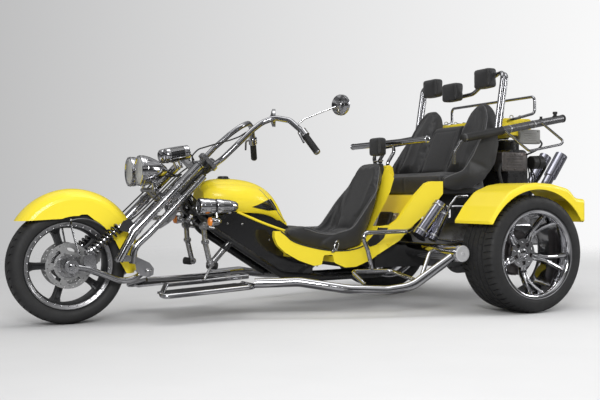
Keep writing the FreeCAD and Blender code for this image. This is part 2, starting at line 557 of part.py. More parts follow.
# passenger footwell: floor, two rising side strips, and the bench's box
floor = plate([(-1840, 384), (-1840, 372), (-1975, 446), (-2000, 446), (-2000, 458), (-1968, 458)], -300, 300)
strips = []
for s in (1, -1):
    st = plate([(-1790, 318), (-1790, 486), (-1866, 498), (-1905, 530), (-1940, 586), (-1999, 676), (-2056, 746), (-2080, 757),
                (-2147, 757), (-2147, 683), (-2088, 598), (-2021, 531), (-1957, 466), (-1912, 405), (-1829, 346)], 0, 30)
    flare = FreeCAD.Matrix()
    flare.A21 = -0.478
    st = st.transformGeometry(flare)
    st.translate(V(0, 238 - 0.478 * 1800, 0))
    strips.append(st if s > 0 else mirror(st))
base = plate([(-1976, 457), (-2030, 522), (-2096, 676), (-2200, 676), (-2136, 594), (-2050, 528), (-1990, 458)], -330, 330)
base = base.fuse([plate([(-2092, 626), (-2110, 676), (-2150, 676), (-2116, 628)], -398, 398),
                  plate([(-2120, 616), (-2120, 676), (-2560, 676), (-2560, 616)], -200, 200)])
tub_all = tub.fuse([shell, floor, base] + strips)
lower_cut = box(-1900, -1500, -110, 110, 100, 260)
for q in parts["main_frame"] + [parts["torsion_tube"][0]]:
    tub_all = tub_all.cut(q)
tub_all = tub_all.cut(fair).cut(seat).cut(trans)
tub_all = max(tub_all.Solids, key=lambda q: q.Volume)
add("body_tub", tub_all)

cush = rplate([(-2148, 690), (-2140, 790), (-2170, 806), (-2500, 790), (-2500, 678), (-2160, 678)], [10, 16, 20, 20, 8, 8], -398, 398)
add("bench_cushion", cush)
# The two outer backs are tall and round-shouldered with a side bolster that
# runs forward beside the cushion; the middle back is low and flat.
back_side = rplate([(-2352, 808), (-2512, 1190), (-2540, 1250), (-2590, 1262), (-2606, 1220), (-2590, 1060), (-2440, 790)],
                   [20, 90, 30, 20, 30, 120, 10], -450, 450)
for s in (1, -1):
    front = [(148, 700), (434, 700), (434, 980), (414, 1100), (372, 1200), (312, 1262), (252, 1262), (196, 1206), (160, 1110),
             (148, 1000)]
    w = Part.makePolygon([V(-2100, y, z) for y, z in front] + [V(-2100, 148, 700)])
    outline = Part.Face(w).extrude(V(-600, 0, 0))
    b = back_side.common(outline)
    wing = rplate([(-2150, 700), (-2146, 776), (-2200, 798), (-2292, 838), (-2412, 1000), (-2480, 1080), (-2560, 1084),
                   (-2586, 1000), (-2556, 866), (-2462, 754), (-2368, 704), (-2240, 686)],
                  [20, 20, 60, 90, 90, 30, 30, 60, 80, 80, 60, 30], 400.3, 436)
    b = b.fuse(wing).cut(cush).cut(tub_all)
    b = max(b.Solids, key=lambda q: q.Volume)
    add("bench_backrests", b if s > 0 else mirror(b))
b = rplate([(-2352, 808), (-2476, 1100), (-2500, 1128), (-2560, 1128), (-2566, 1040), (-2440, 790)], [20, 40, 20, 10, 90, 10], -145, 145)
add("bench_backrests", b.cut(cush))

def pad(c, tx, wy, hz, r):
    b = box(c[0] - tx / 2, c[0] + tx / 2, c[1] - wy / 2, c[1] + wy / 2, c[2] - hz / 2, c[2] + hz / 2)
    return b.makeFillet(r, b.Edges)


for c, t, w, h in (((-1955, 0, 982), 76, 132, 124), ((-2579, 288, 1412), 84, 164, 132),
                   ((-2579, -288, 1412), 84, 164, 132), ((-2536, 0, 1352), 84, 164, 128)):
    add("headrests", pad(c, t, w, h, 22))
posts = [cyl(V(-1950, s * 34, 890), V(-1962, s * 34, 930), 8) for s in (1, -1)]

# Roll bar over the bench, double posts, dipped in the middle.
hoop = [(-2541, 440, 1078), (-2600, 440, 1436), (-2640, 345, 1440), (-2640, 205, 1396), (-2612, 120, 1334)]
roll = tube(hoop + [(-2594, 0, 1324)] + [(x, -y, z) for x, y, z in reversed(hoop)], 13, [46, 46, 60, 60, 900, 60, 60, 46, 46])
hoop2 = [tube([(-2571, s * 440, 1084), (-2628, s * 440, 1420), (-2640, s * 380, 1439), (-2640, s * 330, 1440)], 12, [40, 30]) for s in (1, -1)]
roll = roll.fuse(hoop2)
for s in (1, -1):
    roll = roll.fuse(cyl(V(-2556, s * 440, 1068), V(-2558, s * 440, 1080), 28))
add("roll_bar", roll)
parts["bench_backrests"] = [max(q.cut(roll).Solids, key=lambda k: k.Volume) for q in parts["bench_backrests"]]

# Lateral grab bar behind the driver's headrest.
gb = cyl(V(-2030, -445, 1006), V(-2030, 445, 1006), 20)
legs_g = [tube([(-2030, s * 60, 1004), (-2040, s * 60, 950), (-1992, s * 60, 880), (-1992, s * 60, 850)], 11, 40) for s in (1, -1)]
gb = gb.fuse(legs_g).cut(tub_all)
add("grab_bar", gb)

# Upper side tubes with the arm pads, and the curved brackets that carry them.
for s in (1, -1):
    t = cyl(V(-2262, 478, 1016), V(-3050, 478, 1160), 24)
    br = tube([(-2330, 478, 1028), (-2246, 478, 992), (-2206, 466, 930), (-2216, 452, 862)], 11, 40)
    t = t.fuse(br)
    for q in parts["roll_bar"] + parts["bench_backrests"]:
        t = t.cut(q)
    t = max(t.Solids, key=lambda q: q.Volume)
    add("side_tubes", t if s > 0 else mirror(t))

# Luggage deck, its rail and the side rack loops.
deck = rplate([(-2658, 1060), (-2658, 1160), (-2700, 1160), (-2890, 1160), (-2890, 1100), (-2850, 1048)], [10, 20, 20, 20, 20, 20], -360, 360)
add("rear_deck", deck)
rail = tube([(-2700, -430, 1150), (-2850, -440, 1190), (-2850, -440, 1296), (-2850, 440, 1296), (-2850, 440, 1190), (-2700, 430, 1150)], 9, 30)
lk = [cyl(V(-2700, s * 430, 1150), V(-2700, s * 350, 1140), 9) for s in (1, -1)]
rail = rail.fuse(lk).cut(deck)
add("luggage_rack", rail)
for s in (1, -1):
    sr = tube([(-2560, 505, 1066), (-2700, 560, 942), (-2958, 560, 988), (-2975, 560, 1010), (-2850, 505, 1124)], 8, 30)
    sr = sr.cut(parts["side_tubes"][0])
    sr = max(sr.Solids, key=lambda q: q.Volume)
    add("luggage_rack", sr if s > 0 else mirror(sr))

# ---------------------------------------------------------------- floor level
for s in (1, -1):
    sb = tube([(-952, 346, 196), (-1180, 440, 200), (-1420, 560, 158), (-1640, 620, 146), (-1770, 660, 164), (TORSION_X + 30, 712, 325)],
              26, 220)
    sb = sb.cut(tt)
    add("side_bars", sb if s > 0 else mirror(sb))
    fb = tube([(-960, 150, 178), (-960, 350, 178), (-414, 350, 150), (-500, 176, 196)], 14, [50, 30])
    board = plate([(-448, 151), (-930, 174), (-930, 186), (-448, 163)], 186, 338)
    fb2 = tube([(-500, 176, 196), (-700, 150, 202), (-1000, 138, 216)], 14, 60)
    fball = fb.fuse([board, fb2]).cut(sb)
    fball = max(fball.Solids, key=lambda q: q.Volume)
    add("footboards", fball if s > 0 else mirror(fball))
    pd = tube([(-730, 150, 512), (-736, 151, 420), (-766, 152, 292)], 15, 60).fuse(cyl(V(-730, 134, 510), V(-730, 168, 510), 22))
    br = cyl(V(-800, 130, 494), V(-730, 150, 508), 11)
    pad_p = cyl(V(-748, 152, 292), V(-806, 152, 284), 19) if s > 0 else cyl(V(-714, 152, 300), V(-764, 152, 292), 17)
    pd = pd.fuse([pad_p, br]).cut(frame).cut(fair)
    pd = max(pd.Solids, key=lambda q: q.Volume)
    add("foot_pedals", pd if s > 0 else mirror(pd))
    fr = tube([(-1990, 330, 470), (-1905, 400, 463), (-1597, 400, 459), (-1640, 400, 360), (-1670, 400, 250)], 13, 40)
    fr2 = tube([(-1523, 520, 200), (-1523, 400, 283), (-1799, 400, 226), (-1799, 560, 200)], 12, 40) if False else \
        tube([(-1530, 560, 176), (-1530, 400, 240), (-1800, 400, 232), (-1800, 640, 200)], 12, 40)
    hp = tube([(-1840, 640, 190), (-1960, 560, 340), (TORSION_X + 20, 540, 358)], 12, 40)
    f_all = fr.fuse([fr2, hp]).cut(parts["side_bars"][0]).cut(tt).cut(tub_all)
    add("passenger_footrests", f_all if s > 0 else mirror(f_all))
    ov = cyl(V(-1960, 452, 430), V(-2120, 452, 620), 44)
    ov2 = cyl(V(-2020, 500, 410), V(-2118, 500, 574), 26)
    ovl = ov.fuse(ov2)
    ovl = ovl.cut(tub_all)
    add("side_covers", ovl if s > 0 else mirror(ovl))
    lam = cyl(V(-650, 286, 622), V(-885, 286, 620), 46)
    arm_l = cyl(V(-830, 286, 596), V(-850, 118, 548), 10)
    lam = lam.fuse(arm_l).cut(fair)
    add("aux_lamps", lam if s > 0 else mirror(lam))
    ind = cyl(V(-700, 300, 538), V(-780, 300, 538), 27)
    ind = ind.fuse(cyl(V(-750, 300, 560), V(-750, 292, 600), 8)).cut(lam)
    add("signal_lamps", ind if s > 0 else mirror(ind))
bb = box(-1780, -2170, -250, 250, 240, 372)
for q in parts["main_frame"] + parts["torsion_tube"] + [tub_all, trans]:
    bb = bb.cut(q)
bb = max(bb.Solids, key=lambda q: q.Volume)
add("battery_box", bb)

# ---------------------------------------------------------------- write
lo, hi = 1e9, -1e9
for n, ss in parts.items():
    for s in ss:
        b = s.optimalBoundingBox(False) if n in ("front_fender",) else s.BoundBox
        lo, hi = min(lo, b.XMin), max(hi, b.XMax)
X_SHIFT = -(lo + hi) / 2.0
print("x range", round(lo, 1), round(hi, 1), "shift", round(X_SHIFT, 2))
for f in os.listdir(OUT):
    if f.endswith(".step"):
        os.remove(os.path.join(OUT, f))
for name, ss in parts.items():
    sol = []
    for s in ss:
        sol.extend(s.Solids)
    sh = sol[0] if len(sol) == 1 else Part.makeCompound(sol)
    sh.translate(V(X_SHIFT, 0, 0))
    bad = [i for i, s in enumerate(sol) if not s.isValid() or s.Volume <= 0]
    print("%-20s solids %d vol %.2f l %s" % (name, len(sol), sum(s.Volume for s in sol) / 1e6, ("BAD %s" % bad) if bad else ""))
    sh.exportStep(os.path.join(OUT, name + ".step"))
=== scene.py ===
import bpy, bmesh, math, random
import numpy as np
from mathutils import Vector, Matrix, noise
from mathutils.bvhtree import BVHTree

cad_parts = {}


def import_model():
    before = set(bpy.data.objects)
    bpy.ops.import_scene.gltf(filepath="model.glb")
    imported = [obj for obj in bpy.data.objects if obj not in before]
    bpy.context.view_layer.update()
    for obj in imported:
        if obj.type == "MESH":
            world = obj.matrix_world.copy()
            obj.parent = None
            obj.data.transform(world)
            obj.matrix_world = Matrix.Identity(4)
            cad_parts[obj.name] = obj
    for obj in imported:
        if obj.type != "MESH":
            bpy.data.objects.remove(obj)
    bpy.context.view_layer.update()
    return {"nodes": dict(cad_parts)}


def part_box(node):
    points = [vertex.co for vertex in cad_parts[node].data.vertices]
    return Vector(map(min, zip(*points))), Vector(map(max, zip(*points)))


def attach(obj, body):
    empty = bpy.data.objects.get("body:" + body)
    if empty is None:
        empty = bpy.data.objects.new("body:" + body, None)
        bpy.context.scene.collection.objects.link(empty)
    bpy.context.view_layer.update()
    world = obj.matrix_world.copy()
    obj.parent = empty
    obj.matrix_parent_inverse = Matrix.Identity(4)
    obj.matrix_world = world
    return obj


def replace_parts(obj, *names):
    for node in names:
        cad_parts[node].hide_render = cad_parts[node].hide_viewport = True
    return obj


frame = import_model()
NODES = frame["nodes"]
SCENE = bpy.context.scene
_lo, _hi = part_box("front_axle")
SH = (_lo.x + _hi.x) / 2.0            # row x of the front axle


def P(x, y, z):
    """A point given in millimetres from the front axle's foot, in the row frame."""
    return Vector((x * 0.001 + SH, y * 0.001, z * 0.001))


# ------------------------------------------------------------------ materials
MATS = {}


def material(name, color, rough, metal=0.0, var=0.05, var_scale=5.0, rvar=0.05, rscale=30.0,
             bump=(), coat=0.0, coat_rough=0.04, spec=0.5, dark=None, dark_scale=14.0, dark_at=0.62,
             dark_wide=0.12, stretch=None, voronoi=None, sheen=0.0):
    """A Principled finish whose colour, roughness and relief all come from noise in the piece's own space."""
    m = bpy.data.materials.new(name)
    m.use_nodes = True
    nt = m.node_tree
    for n in list(nt.nodes):
        nt.nodes.remove(n)
    out = nt.nodes.new("ShaderNodeOutputMaterial")
    b = nt.nodes.new("ShaderNodeBsdfPrincipled")
    nt.links.new(b.outputs[0], out.inputs[0])
    tc = nt.nodes.new("ShaderNodeTexCoord")
    src = tc.outputs["Object"]
    if stretch:
        mp = nt.nodes.new("ShaderNodeMapping")
        mp.inputs["Scale"].default_value = stretch
        nt.links.new(src, mp.inputs[0])
        src = mp.outputs[0]

    def nz(scale, detail=3.0, rough_n=0.55, vec=None):
        n = nt.nodes.new("ShaderNodeTexNoise")
        n.inputs["Scale"].default_value = scale
        n.inputs["Detail"].default_value = detail
        n.inputs["Roughness"].default_value = rough_n
        nt.links.new(vec or src, n.inputs["Vector"])
        return n.outputs["Fac"]

    c0 = [max(0.0, c * (1 - var)) for c in color]
    c1 = [min(1.0, c * (1 + var)) for c in color]
    ramp = nt.nodes.new("ShaderNodeValToRGB")
    ramp.color_ramp.elements[0].position = 0.3
    ramp.color_ramp.elements[1].position = 0.7
    ramp.color_ramp.elements[0].color = (*c0, 1)
    ramp.color_ramp.elements[1].color = (*c1, 1)
    nt.links.new(nz(var_scale), ramp.inputs[0])
    col = ramp.outputs[0]
    if dark:
        r2 = nt.nodes.new("ShaderNodeValToRGB")
        r2.color_ramp.elements[0].position = dark_at
        r2.color_ramp.elements[1].position = min(1.0, dark_at + dark_wide)
        nt.links.new(nz(dark_scale, 6.0, 0.65), r2.inputs[0])
        mx = nt.nodes.new("ShaderNodeMix")
        mx.data_type = "RGBA"
        mx.inputs["B"].default_value = (*dark, 1)
        nt.links.new(r2.outputs[0], mx.inputs["Factor"])
        nt.links.new(col, mx.inputs["A"])
        col = mx.outputs["Result"]
    nt.links.new(col, b.inputs["Base Color"])
    b.inputs["Metallic"].default_value = metal
    mr = nt.nodes.new("ShaderNodeMapRange")
    mr.inputs["From Min"].default_value = 0.3
    mr.inputs["From Max"].default_value = 0.7
    mr.inputs["To Min"].default_value = max(0.0, rough - rvar)
    mr.inputs["To Max"].default_value = min(1.0, rough + rvar)
    nt.links.new(nz(rscale, 4.0, 0.6), mr.inputs["Value"])
    nt.links.new(mr.outputs[0], b.inputs["Roughness"])
    b.inputs["Coat Weight"].default_value = coat
    b.inputs["Coat Roughness"].default_value = coat_rough
    b.inputs["Specular IOR Level"].default_value = spec
    if sheen:
        b.inputs["Sheen Weight"].default_value = sheen
        b.inputs["Sheen Roughness"].default_value = 0.5
    normal = None
    for kind, scale, strength, dist in bump:
        if kind == "noise":
            h = nz(scale, 2.0, 0.5)
        elif kind == "cells":
            v = nt.nodes.new("ShaderNodeTexVoronoi")
            v.feature = "SMOOTH_F1"
            v.inputs["Scale"].default_value = scale
            nt.links.new(src, v.inputs["Vector"])
            h = v.outputs["Distance"]
        elif kind == "edges":
            v = nt.nodes.new("ShaderNodeTexVoronoi")
            v.feature = "DISTANCE_TO_EDGE"
            v.inputs["Scale"].default_value = scale
            nt.links.new(src, v.inputs["Vector"])
            h = v.outputs["Distance"]
        else:
            w = nt.nodes.new("ShaderNodeTexWave")
            w.inputs["Scale"].default_value = scale
            w.inputs["Distortion"].default_value = 0.0
            w.bands_direction = kind[-1].upper()
            nt.links.new(src, w.inputs["Vector"])
            h = w.outputs["Fac"]
        bp = nt.nodes.new("ShaderNodeBump")
        bp.inputs["Strength"].default_value = strength
        bp.inputs["Distance"].default_value = dist
        nt.links.new(h, bp.inputs["Height"])
        if normal:
            nt.links.new(normal, bp.inputs["Normal"])
        normal = bp.outputs[0]
    if normal:
        nt.links.new(normal, b.inputs["Normal"])
    MATS[name] = m
    return m


YELLOW = material("trike_yellow", (0.92, 0.735, 0.032), 0.36, var=0.035, var_scale=2.2, rvar=0.05, rscale=60,
                  bump=(("noise", 260, 0.05, 0.0006),), coat=0.24, coat_rough=0.08, spec=0.36)
CHROME = material("trike_chrome", (0.54, 0.54, 0.555), 0.09, 1.0, var=0.05, var_scale=9, rvar=0.04, rscale=35,
                  bump=(("noise", 55, 0.02, 0.0006),))
RIMCHROME = material("trike_rim_chrome", (0.70, 0.70, 0.72), 0.09, 1.0, var=0.07, var_scale=16, rvar=0.05, rscale=50,
                     bump=(("noise", 80, 0.06, 0.0006),))
BLACKFRAME = material("trike_black_frame", (0.012, 0.012, 0.013), 0.32, var=0.35, var_scale=8, rvar=0.10, rscale=22,
                      bump=(("noise", 320, 0.10, 0.0005),), coat=0.35, coat_rough=0.12)
BLACK_GLOSS_AND_SHADE = material("trike_black_gloss_and_painted_shade", (0.008, 0.008, 0.009), 0.20, var=0.30, var_scale=4, rvar=0.06, rscale=40,
                      bump=(("noise", 300, 0.05, 0.0005),), coat=0.8, coat_rough=0.05)
BLACK_PLASTIC_AND_SHADE = material("trike_black_plastic_and_painted_shade", (0.014, 0.014, 0.0145), 0.55, var=0.25, var_scale=9, rvar=0.10, rscale=25,
                   bump=(("noise", 900, 0.30, 0.0004), ("cells", 700, 0.15, 0.0004)))
LEATHER = material("trike_leather", (0.021, 0.021, 0.0225), 0.52, var=0.16, var_scale=7, rvar=0.09, rscale=14,
                   bump=(("edges", 420, 0.45, 0.0006), ("noise", 900, 0.25, 0.0003), ("noise", 45, 0.22, 0.0015)),
                   spec=0.45, sheen=0.12)
PIPING = material("trike_piping", (0.10, 0.10, 0.105), 0.42, var=0.10, var_scale=30, rvar=0.06, rscale=60,
                  bump=(("noise", 900, 0.3, 0.0003),))
RUBBER_AND_SHADE = material("trike_rubber_and_painted_shade", (0.017, 0.017, 0.0175), 0.66, var=0.20, var_scale=14, rvar=0.10, rscale=30,
                  bump=(("noise", 700, 0.35, 0.0004),), dark=(0.030, 0.029, 0.028), dark_scale=9, dark_at=0.60, dark_wide=0.3)
TYRE = material("trike_tyre", (0.019, 0.019, 0.0195), 0.62, var=0.16, var_scale=11, rvar=0.10, rscale=26,
                bump=(("noise", 500, 0.30, 0.0005),), dark=(0.030, 0.029, 0.028), dark_scale=6, dark_at=0.55, dark_wide=0.35)
RIMGREY = material("trike_rim_grey", (0.060, 0.061, 0.064), 0.36, 0.55, var=0.18, var_scale=20, rvar=0.08, rscale=60,
                   bump=(("noise", 420, 0.12, 0.0004),))
RIMLIP = material("trike_rim_lip", (0.42, 0.42, 0.43), 0.32, 1.0, var=0.06, var_scale=14, rvar=0.03, rscale=30,
                  bump=(("noise", 60, 0.03, 0.0004),))
BARCHROME = material("trike_bar_chrome", (0.36, 0.36, 0.375), 0.19, 1.0, var=0.06, var_scale=12, rvar=0.015, rscale=40,
                     bump=(("noise", 60, 0.02, 0.0004),))
PIPECHROME = material("trike_pipe_chrome", (0.38, 0.38, 0.44), 0.15, 1.0, var=0.14, var_scale=7, rvar=0.06, rscale=40,
                      bump=(("noise", 90, 0.08, 0.0006),))
ENDDISC = material("trike_end_disc", (0.62, 0.62, 0.63), 0.30, 0.25, var=0.05, var_scale=12, rvar=0.04, rscale=40,
                   bump=(("noise", 200, 0.03, 0.0003),), coat=0.5)
TUBEGREY = material("trike_tube_grey", (0.17, 0.17, 0.175), 0.30, 0.85, var=0.12, var_scale=14, rvar=0.07, rscale=50,
                    bump=(("noise", 300, 0.10, 0.0004),))
STEEL = material("trike_steel", (0.46, 0.46, 0.47), 0.30, 1.0, var=0.12, var_scale=18, rvar=0.09, rscale=70,
                 bump=(("noise", 300, 0.10, 0.0004),), dark=(0.20, 0.19, 0.18), dark_scale=26, dark_at=0.60, dark_wide=0.2)
DISC = material("trike_disc_steel", (0.60, 0.60, 0.60), 0.38, 1.0, var=0.08, var_scale=12, rvar=0.06, rscale=90,
                bump=(("noise", 500, 0.10, 0.0003),))
CAST = material("trike_cast", (0.20, 0.20, 0.205), 0.50, 0.8, var=0.22, var_scale=10, rvar=0.12, rscale=30,
                bump=(("noise", 380, 0.35, 0.0008),), dark=(0.05, 0.047, 0.043), dark_scale=12, dark_at=0.52, dark_wide=0.2)
DARKMETAL = material("trike_dark_metal", (0.105, 0.097, 0.096), 0.45, 0.6, var=0.35, var_scale=16, rvar=0.12, rscale=30,
                     bump=(("noise", 260, 0.30, 0.0008),), dark=(0.155, 0.115, 0.105), dark_scale=20, dark_at=0.55, dark_wide=0.2)
COILBLACK = material("trike_spring_black", (0.014, 0.014, 0.015), 0.26, var=0.3, var_scale=30, rvar=0.08, rscale=60,
                     bump=(("noise", 500, 0.1, 0.0003),), coat=0.6, coat_rough=0.08)
GREYBOX = material("trike_grey_case", (0.24, 0.24, 0.235), 0.45, 0.3, var=0.10, var_scale=14, rvar=0.08, rscale=40,
                   bump=(("noise", 600, 0.15, 0.0004),))
AMBER = material("trike_amber", (0.75, 0.22, 0.015), 0.12, var=0.10, var_scale=60, rvar=0.03, rscale=90,
                 bump=(("cells", 260, 0.4, 0.0010),), coat=1.0)
REDLENS = material("trike_red", (0.50, 0.012, 0.010), 0.12, var=0.10, var_scale=60, rvar=0.03, rscale=90,
                   bump=(("cells", 260, 0.4, 0.0010),), coat=1.0)
WHITEFACE = material("trike_dial", (0.70, 0.70, 0.68), 0.5, var=0.03, var_scale=30, rvar=0.05, rscale=60)
BRASS = material("trike_brass", (0.60, 0.42, 0.16), 0.28, 1.0, var=0.12, var_scale=30, rvar=0.08, rscale=60,
                 bump=(("noise", 300, 0.1, 0.0003),))


def glass(name, rough=0.03):
    m = bpy.data.materials.new(name)
    m.use_nodes = True
    nt = m.node_tree
    b = nt.nodes["Principled BSDF"]
    b.inputs["Transmission Weight"].default_value = 1.0
    b.inputs["IOR"].default_value = 1.25
    b.inputs["Base Color"].default_value = (0.96, 0.97, 0.98, 1)
    b.inputs["Roughness"].default_value = rough
    tc = nt.nodes.new("ShaderNodeTexCoord")
    w = nt.nodes.new("ShaderNodeTexWave")
    w.bands_direction = "Y"
    w.inputs["Scale"].default_value = 28.0
    w.inputs["Distortion"].default_value = 0.0
    nt.links.new(tc.outputs["Object"], w.inputs["Vector"])
    bp = nt.nodes.new("ShaderNodeBump")
    bp.inputs["Strength"].default_value = 0.35
    bp.inputs["Distance"].default_value = 0.002
    nt.links.new(w.outputs["Fac"], bp.inputs["Height"])
    nt.links.new(bp.outputs[0], b.inputs["Normal"])
    MATS[name] = m
    return m


GLASS = glass("trike_glass")
MIRROR = material("trike_mirror", (0.86, 0.87, 0.88), 0.015, 1.0, var=0.01, var_scale=5, rvar=0.008, rscale=12)
LENS = material("trike_lens", (0.56, 0.57, 0.58), 0.20, 0.25, var=0.08, var_scale=20, rvar=0.05, rscale=60,
                bump=(("wavey", 9.0, 0.5, 0.002), ("cells", 120, 0.2, 0.001)), coat=1.0, coat_rough=0.04)
TREAD_PLATE = material("trike_tread_plate", (0.62, 0.62, 0.63), 0.32, 1.0, var=0.06, var_scale=30, rvar=0.06, rscale=80,
                       bump=(("noise", 300, 0.1, 0.0004),))

CARRIED = {
    "main_frame": BLACKFRAME, "torsion_tube": CHROME, "trailing_arms": BLACKFRAME, "transaxle": CAST, "engine_block": CAST,
    "engine_cooling": BLACKFRAME, "exhaust": PIPECHROME, "rear_shocks": STEEL, "rear_fender_left": YELLOW, "rear_fender_right": YELLOW,
    "signal_lamps": AMBER, "fuel_tank": YELLOW, "neck_fairing": BLACK_GLOSS_AND_SHADE, "body_tub": YELLOW, "roll_bar": BARCHROME,
    "grab_bar": CHROME, "side_tubes": TUBEGREY, "rear_deck": YELLOW, "luggage_rack": BARCHROME, "side_bars": CHROME,
    "footboards": CHROME, "foot_pedals": STEEL, "passenger_footrests": CHROME, "side_covers": PIPECHROME, "aux_lamps": CHROME,
    "battery_box": BLACK_PLASTIC_AND_SHADE, "fork_legs": CHROME, "fork_clamps": STEEL, "control_cable": BLACK_PLASTIC_AND_SHADE, "swing_arm": CHROME, "front_shocks": STEEL,
    "front_axle": STEEL, "front_fender": YELLOW, "fender_stays": CHROME, "brake_calipers": CAST, "headlamps": CHROME,
    "gauge_pods": CHROME, "handlebar": BARCHROME, "hand_grips": RUBBER_AND_SHADE, "hand_controls": CHROME, "mirrors": CHROME,
    "front_tyre": TYRE, "front_rim": RIMGREY, "front_discs": DISC, "rear_tyre_left": TYRE, "rear_tyre_right": TYRE,
    "rear_rim_left": RIMCHROME, "rear_rim_right": RIMCHROME,
}
for name, node in NODES.items():
    node.data.materials.clear()
    node.data.materials.append(CARRIED.get(name, LEATHER))

# painted shade: the tub's underside and the flanks of its base and bench support are made plain black, standing in for
# the shade under and beside them
tub = NODES["body_tub"].data
tub.materials.append(BLACK_PLASTIC_AND_SHADE)
TUB_M = NODES["body_tub"].matrix_world
for p_ in tub.polygons:
    c_ = TUB_M @ p_.center
    x_, y_, z_ = (c_.x - SH) * 1000, c_.y * 1000, c_.z * 1000
    low = p_.normal.z < -0.55 and z_ < 560 and x_ < -1200
    flank = abs(p_.normal.y) > 0.9 and (abs(abs(y_) - 330) < 2 or abs(abs(y_) - 398) < 2 or abs(abs(y_) - 200) < 2)
    base = x_ < -1970 and z_ < 678 and abs(y_) < 402 and (flank or p_.normal.x < -0.3 and abs(p_.normal.y) < 0.2)
    if low or base:
        p_.material_index = 1


# ------------------------------------------------------------------ mesh tools
class Acc:
    """Collects shapes into one mesh."""

    def __init__(self):
        self.v, self.f = [], []

    def add(self, verts, faces):
        o = len(self.v)
        self.v.extend([tuple(p) for p in verts])
        self.f.extend([tuple(i + o for i in f) for f in faces])

    def mirror_y(self):
        n = len(self.v)
        self.v.extend([(x, -y, z) for x, y, z in self.v[:n]])
        self.f.extend([tuple(reversed([i + n for i in f])) for f in list(self.f)])
        return self

    def rev(self, a, b, prof, n=32, start=0.0, full=True, close=False):
        """prof: (t mm along from a towards b, r mm)."""
        a = Vector(a); d = (Vector(b) - a).normalized()
        u = d.orthogonal().normalized(); w = d.cross(u)
        vs, fs = [], []
        m = len(prof)
        for k in range(n):
            an = start + 2 * math.pi * k / n
            e = u * math.cos(an) + w * math.sin(an)
            for t, r in prof:
                vs.append(a + d * (t * 0.001) + e * (r * 0.001))
        for k in range(n):
            k2 = (k + 1) % n
            for i in range(m if close else m - 1):
                j = (i + 1) % m
                fs.append((k * m + i, k2 * m + i, k2 * m + j, k * m + j))
        if not close:
            for i, end in ((0, True), (m - 1, False)):
                if prof[i][1] > 1e-6:
                    ring = [k * m + i for k in range(n)]
                    fs.append(tuple(reversed(ring)) if end else tuple(ring))
        self.add(vs, fs)

    def tube(self, pts, r, n=12, smooth=6, caps=True):
        """A round tube through points already in metres; r in mm, or one radius a point."""
        pts = [Vector(p) for p in pts]
        rr = list(r) if isinstance(r, (list, tuple)) else [r] * len(pts)
        if smooth and len(pts) > 2:
            q, qr = [], []
            for i in range(len(pts) - 1):
                p0, p1, p2, p3 = pts[max(i - 1, 0)], pts[i], pts[i + 1], pts[min(i + 2, len(pts) - 1)]
                for s in range(smooth):
                    t = s / smooth
                    q.append(0.5 * ((2 * p1) + (p2 - p0) * t + (2 * p0 - 5 * p1 + 4 * p2 - p3) * t * t + (3 * p1 - p0 - 3 * p2 + p3) * t ** 3))
                    qr.append(rr[i] * (1 - t) + rr[i + 1] * t)
            q.append(pts[-1]); qr.append(rr[-1])
            pts, rr = q, qr
        m = len(pts)
        tang = [(pts[min(i + 1, m - 1)] - pts[max(i - 1, 0)]).normalized() for i in range(m)]
        u = tang[0].orthogonal().normalized()
        vs, fs = [], []
        for i in range(m):
            u = (u - tang[i] * u.dot(tang[i])).normalized()
            w = tang[i].cross(u)
            for k in range(n):
                an = 2 * math.pi * k / n
                vs.append(pts[i] + (u * math.cos(an) + w * math.sin(an)) * (rr[i] * 0.001))
        for i in range(m - 1):
            for k in range(n):
                k2 = (k + 1) % n
                fs.append((i * n + k, i * n + k2, (i + 1) * n + k2, (i + 1) * n + k))
        if caps:
            fs.append(tuple(reversed(range(n))))
            fs.append(tuple(range((m - 1) * n, m * n)))
        self.add(vs, fs)

    def box(self, c, size, rot=None, bev=3.0, seg=2):
        """c in metres; size and bevel in mm."""
        bm = bmesh.new()
        bmesh.ops.create_cube(bm, size=1.0)
        bmesh.ops.scale(bm, vec=[s * 0.001 for s in size], verts=bm.verts)
        if bev:
            bmesh.ops.bevel(bm, geom=list(bm.edges), offset=min(bev, min(size) * 0.45) * 0.001, segments=seg, affect="EDGES", profile=0.6)
        mat = Matrix.Translation(Vector(c)) @ (rot.to_4x4() if rot is not None else Matrix.Identity(4))
        bmesh.ops.transform(bm, matrix=mat, verts=bm.verts)
        bm.verts.index_update()
        self.add([v.co.copy() for v in bm.verts], [[v.index for v in f.verts] for f in bm.faces])
        bm.free()

    def hexhead(self, p, nrm, r, h, washer=True):
        p = Vector(p); d = Vector(nrm).normalized()
        if washer:
            self.rev(p, p + d, [(0, r * 1.45), (h * 0.18, r * 1.45), (h * 0.22, r * 1.38), (h * 0.22, 0.0)], 20)
        self.rev(p, p + d, [(h * 0.1, r), (h * 0.85, r), (h, r * 0.82), (h, 0.0)], 6)

    def dome(self, p, nrm, r, h, n=14):
        p = Vector(p); d = Vector(nrm).normalized()
        self.rev(p, p + d, [(-0.5, r), (h * 0.35, r * 0.94), (h * 0.75, r * 0.66), (h * 0.96, r * 0.3), (h, 0.0)], n)

    def helix(self, a, b, rc, rw, turns, n=9, per=22, ends=True):
        a, b = Vector(a), Vector(b)
        d = (b - a); L = d.length; d.normalize()
        u = d.orthogonal().normalized(); w = d.cross(u)
        steps = int(turns * per)
        pts = []
        for i in range(steps + 1):
            t = i / steps
            an = 2 * math.pi * turns * t
            e = t
            if ends:
                e = min(max((t * (turns + 1.4) - 0.7) / turns, 0.0), 1.0) * 0.94 + t * 0.06
            pts.append(a + d * (L * e) + (u * math.cos(an) + w * math.sin(an)) * (rc * 0.001))
        self.tube(pts, rw, n, smooth=0)

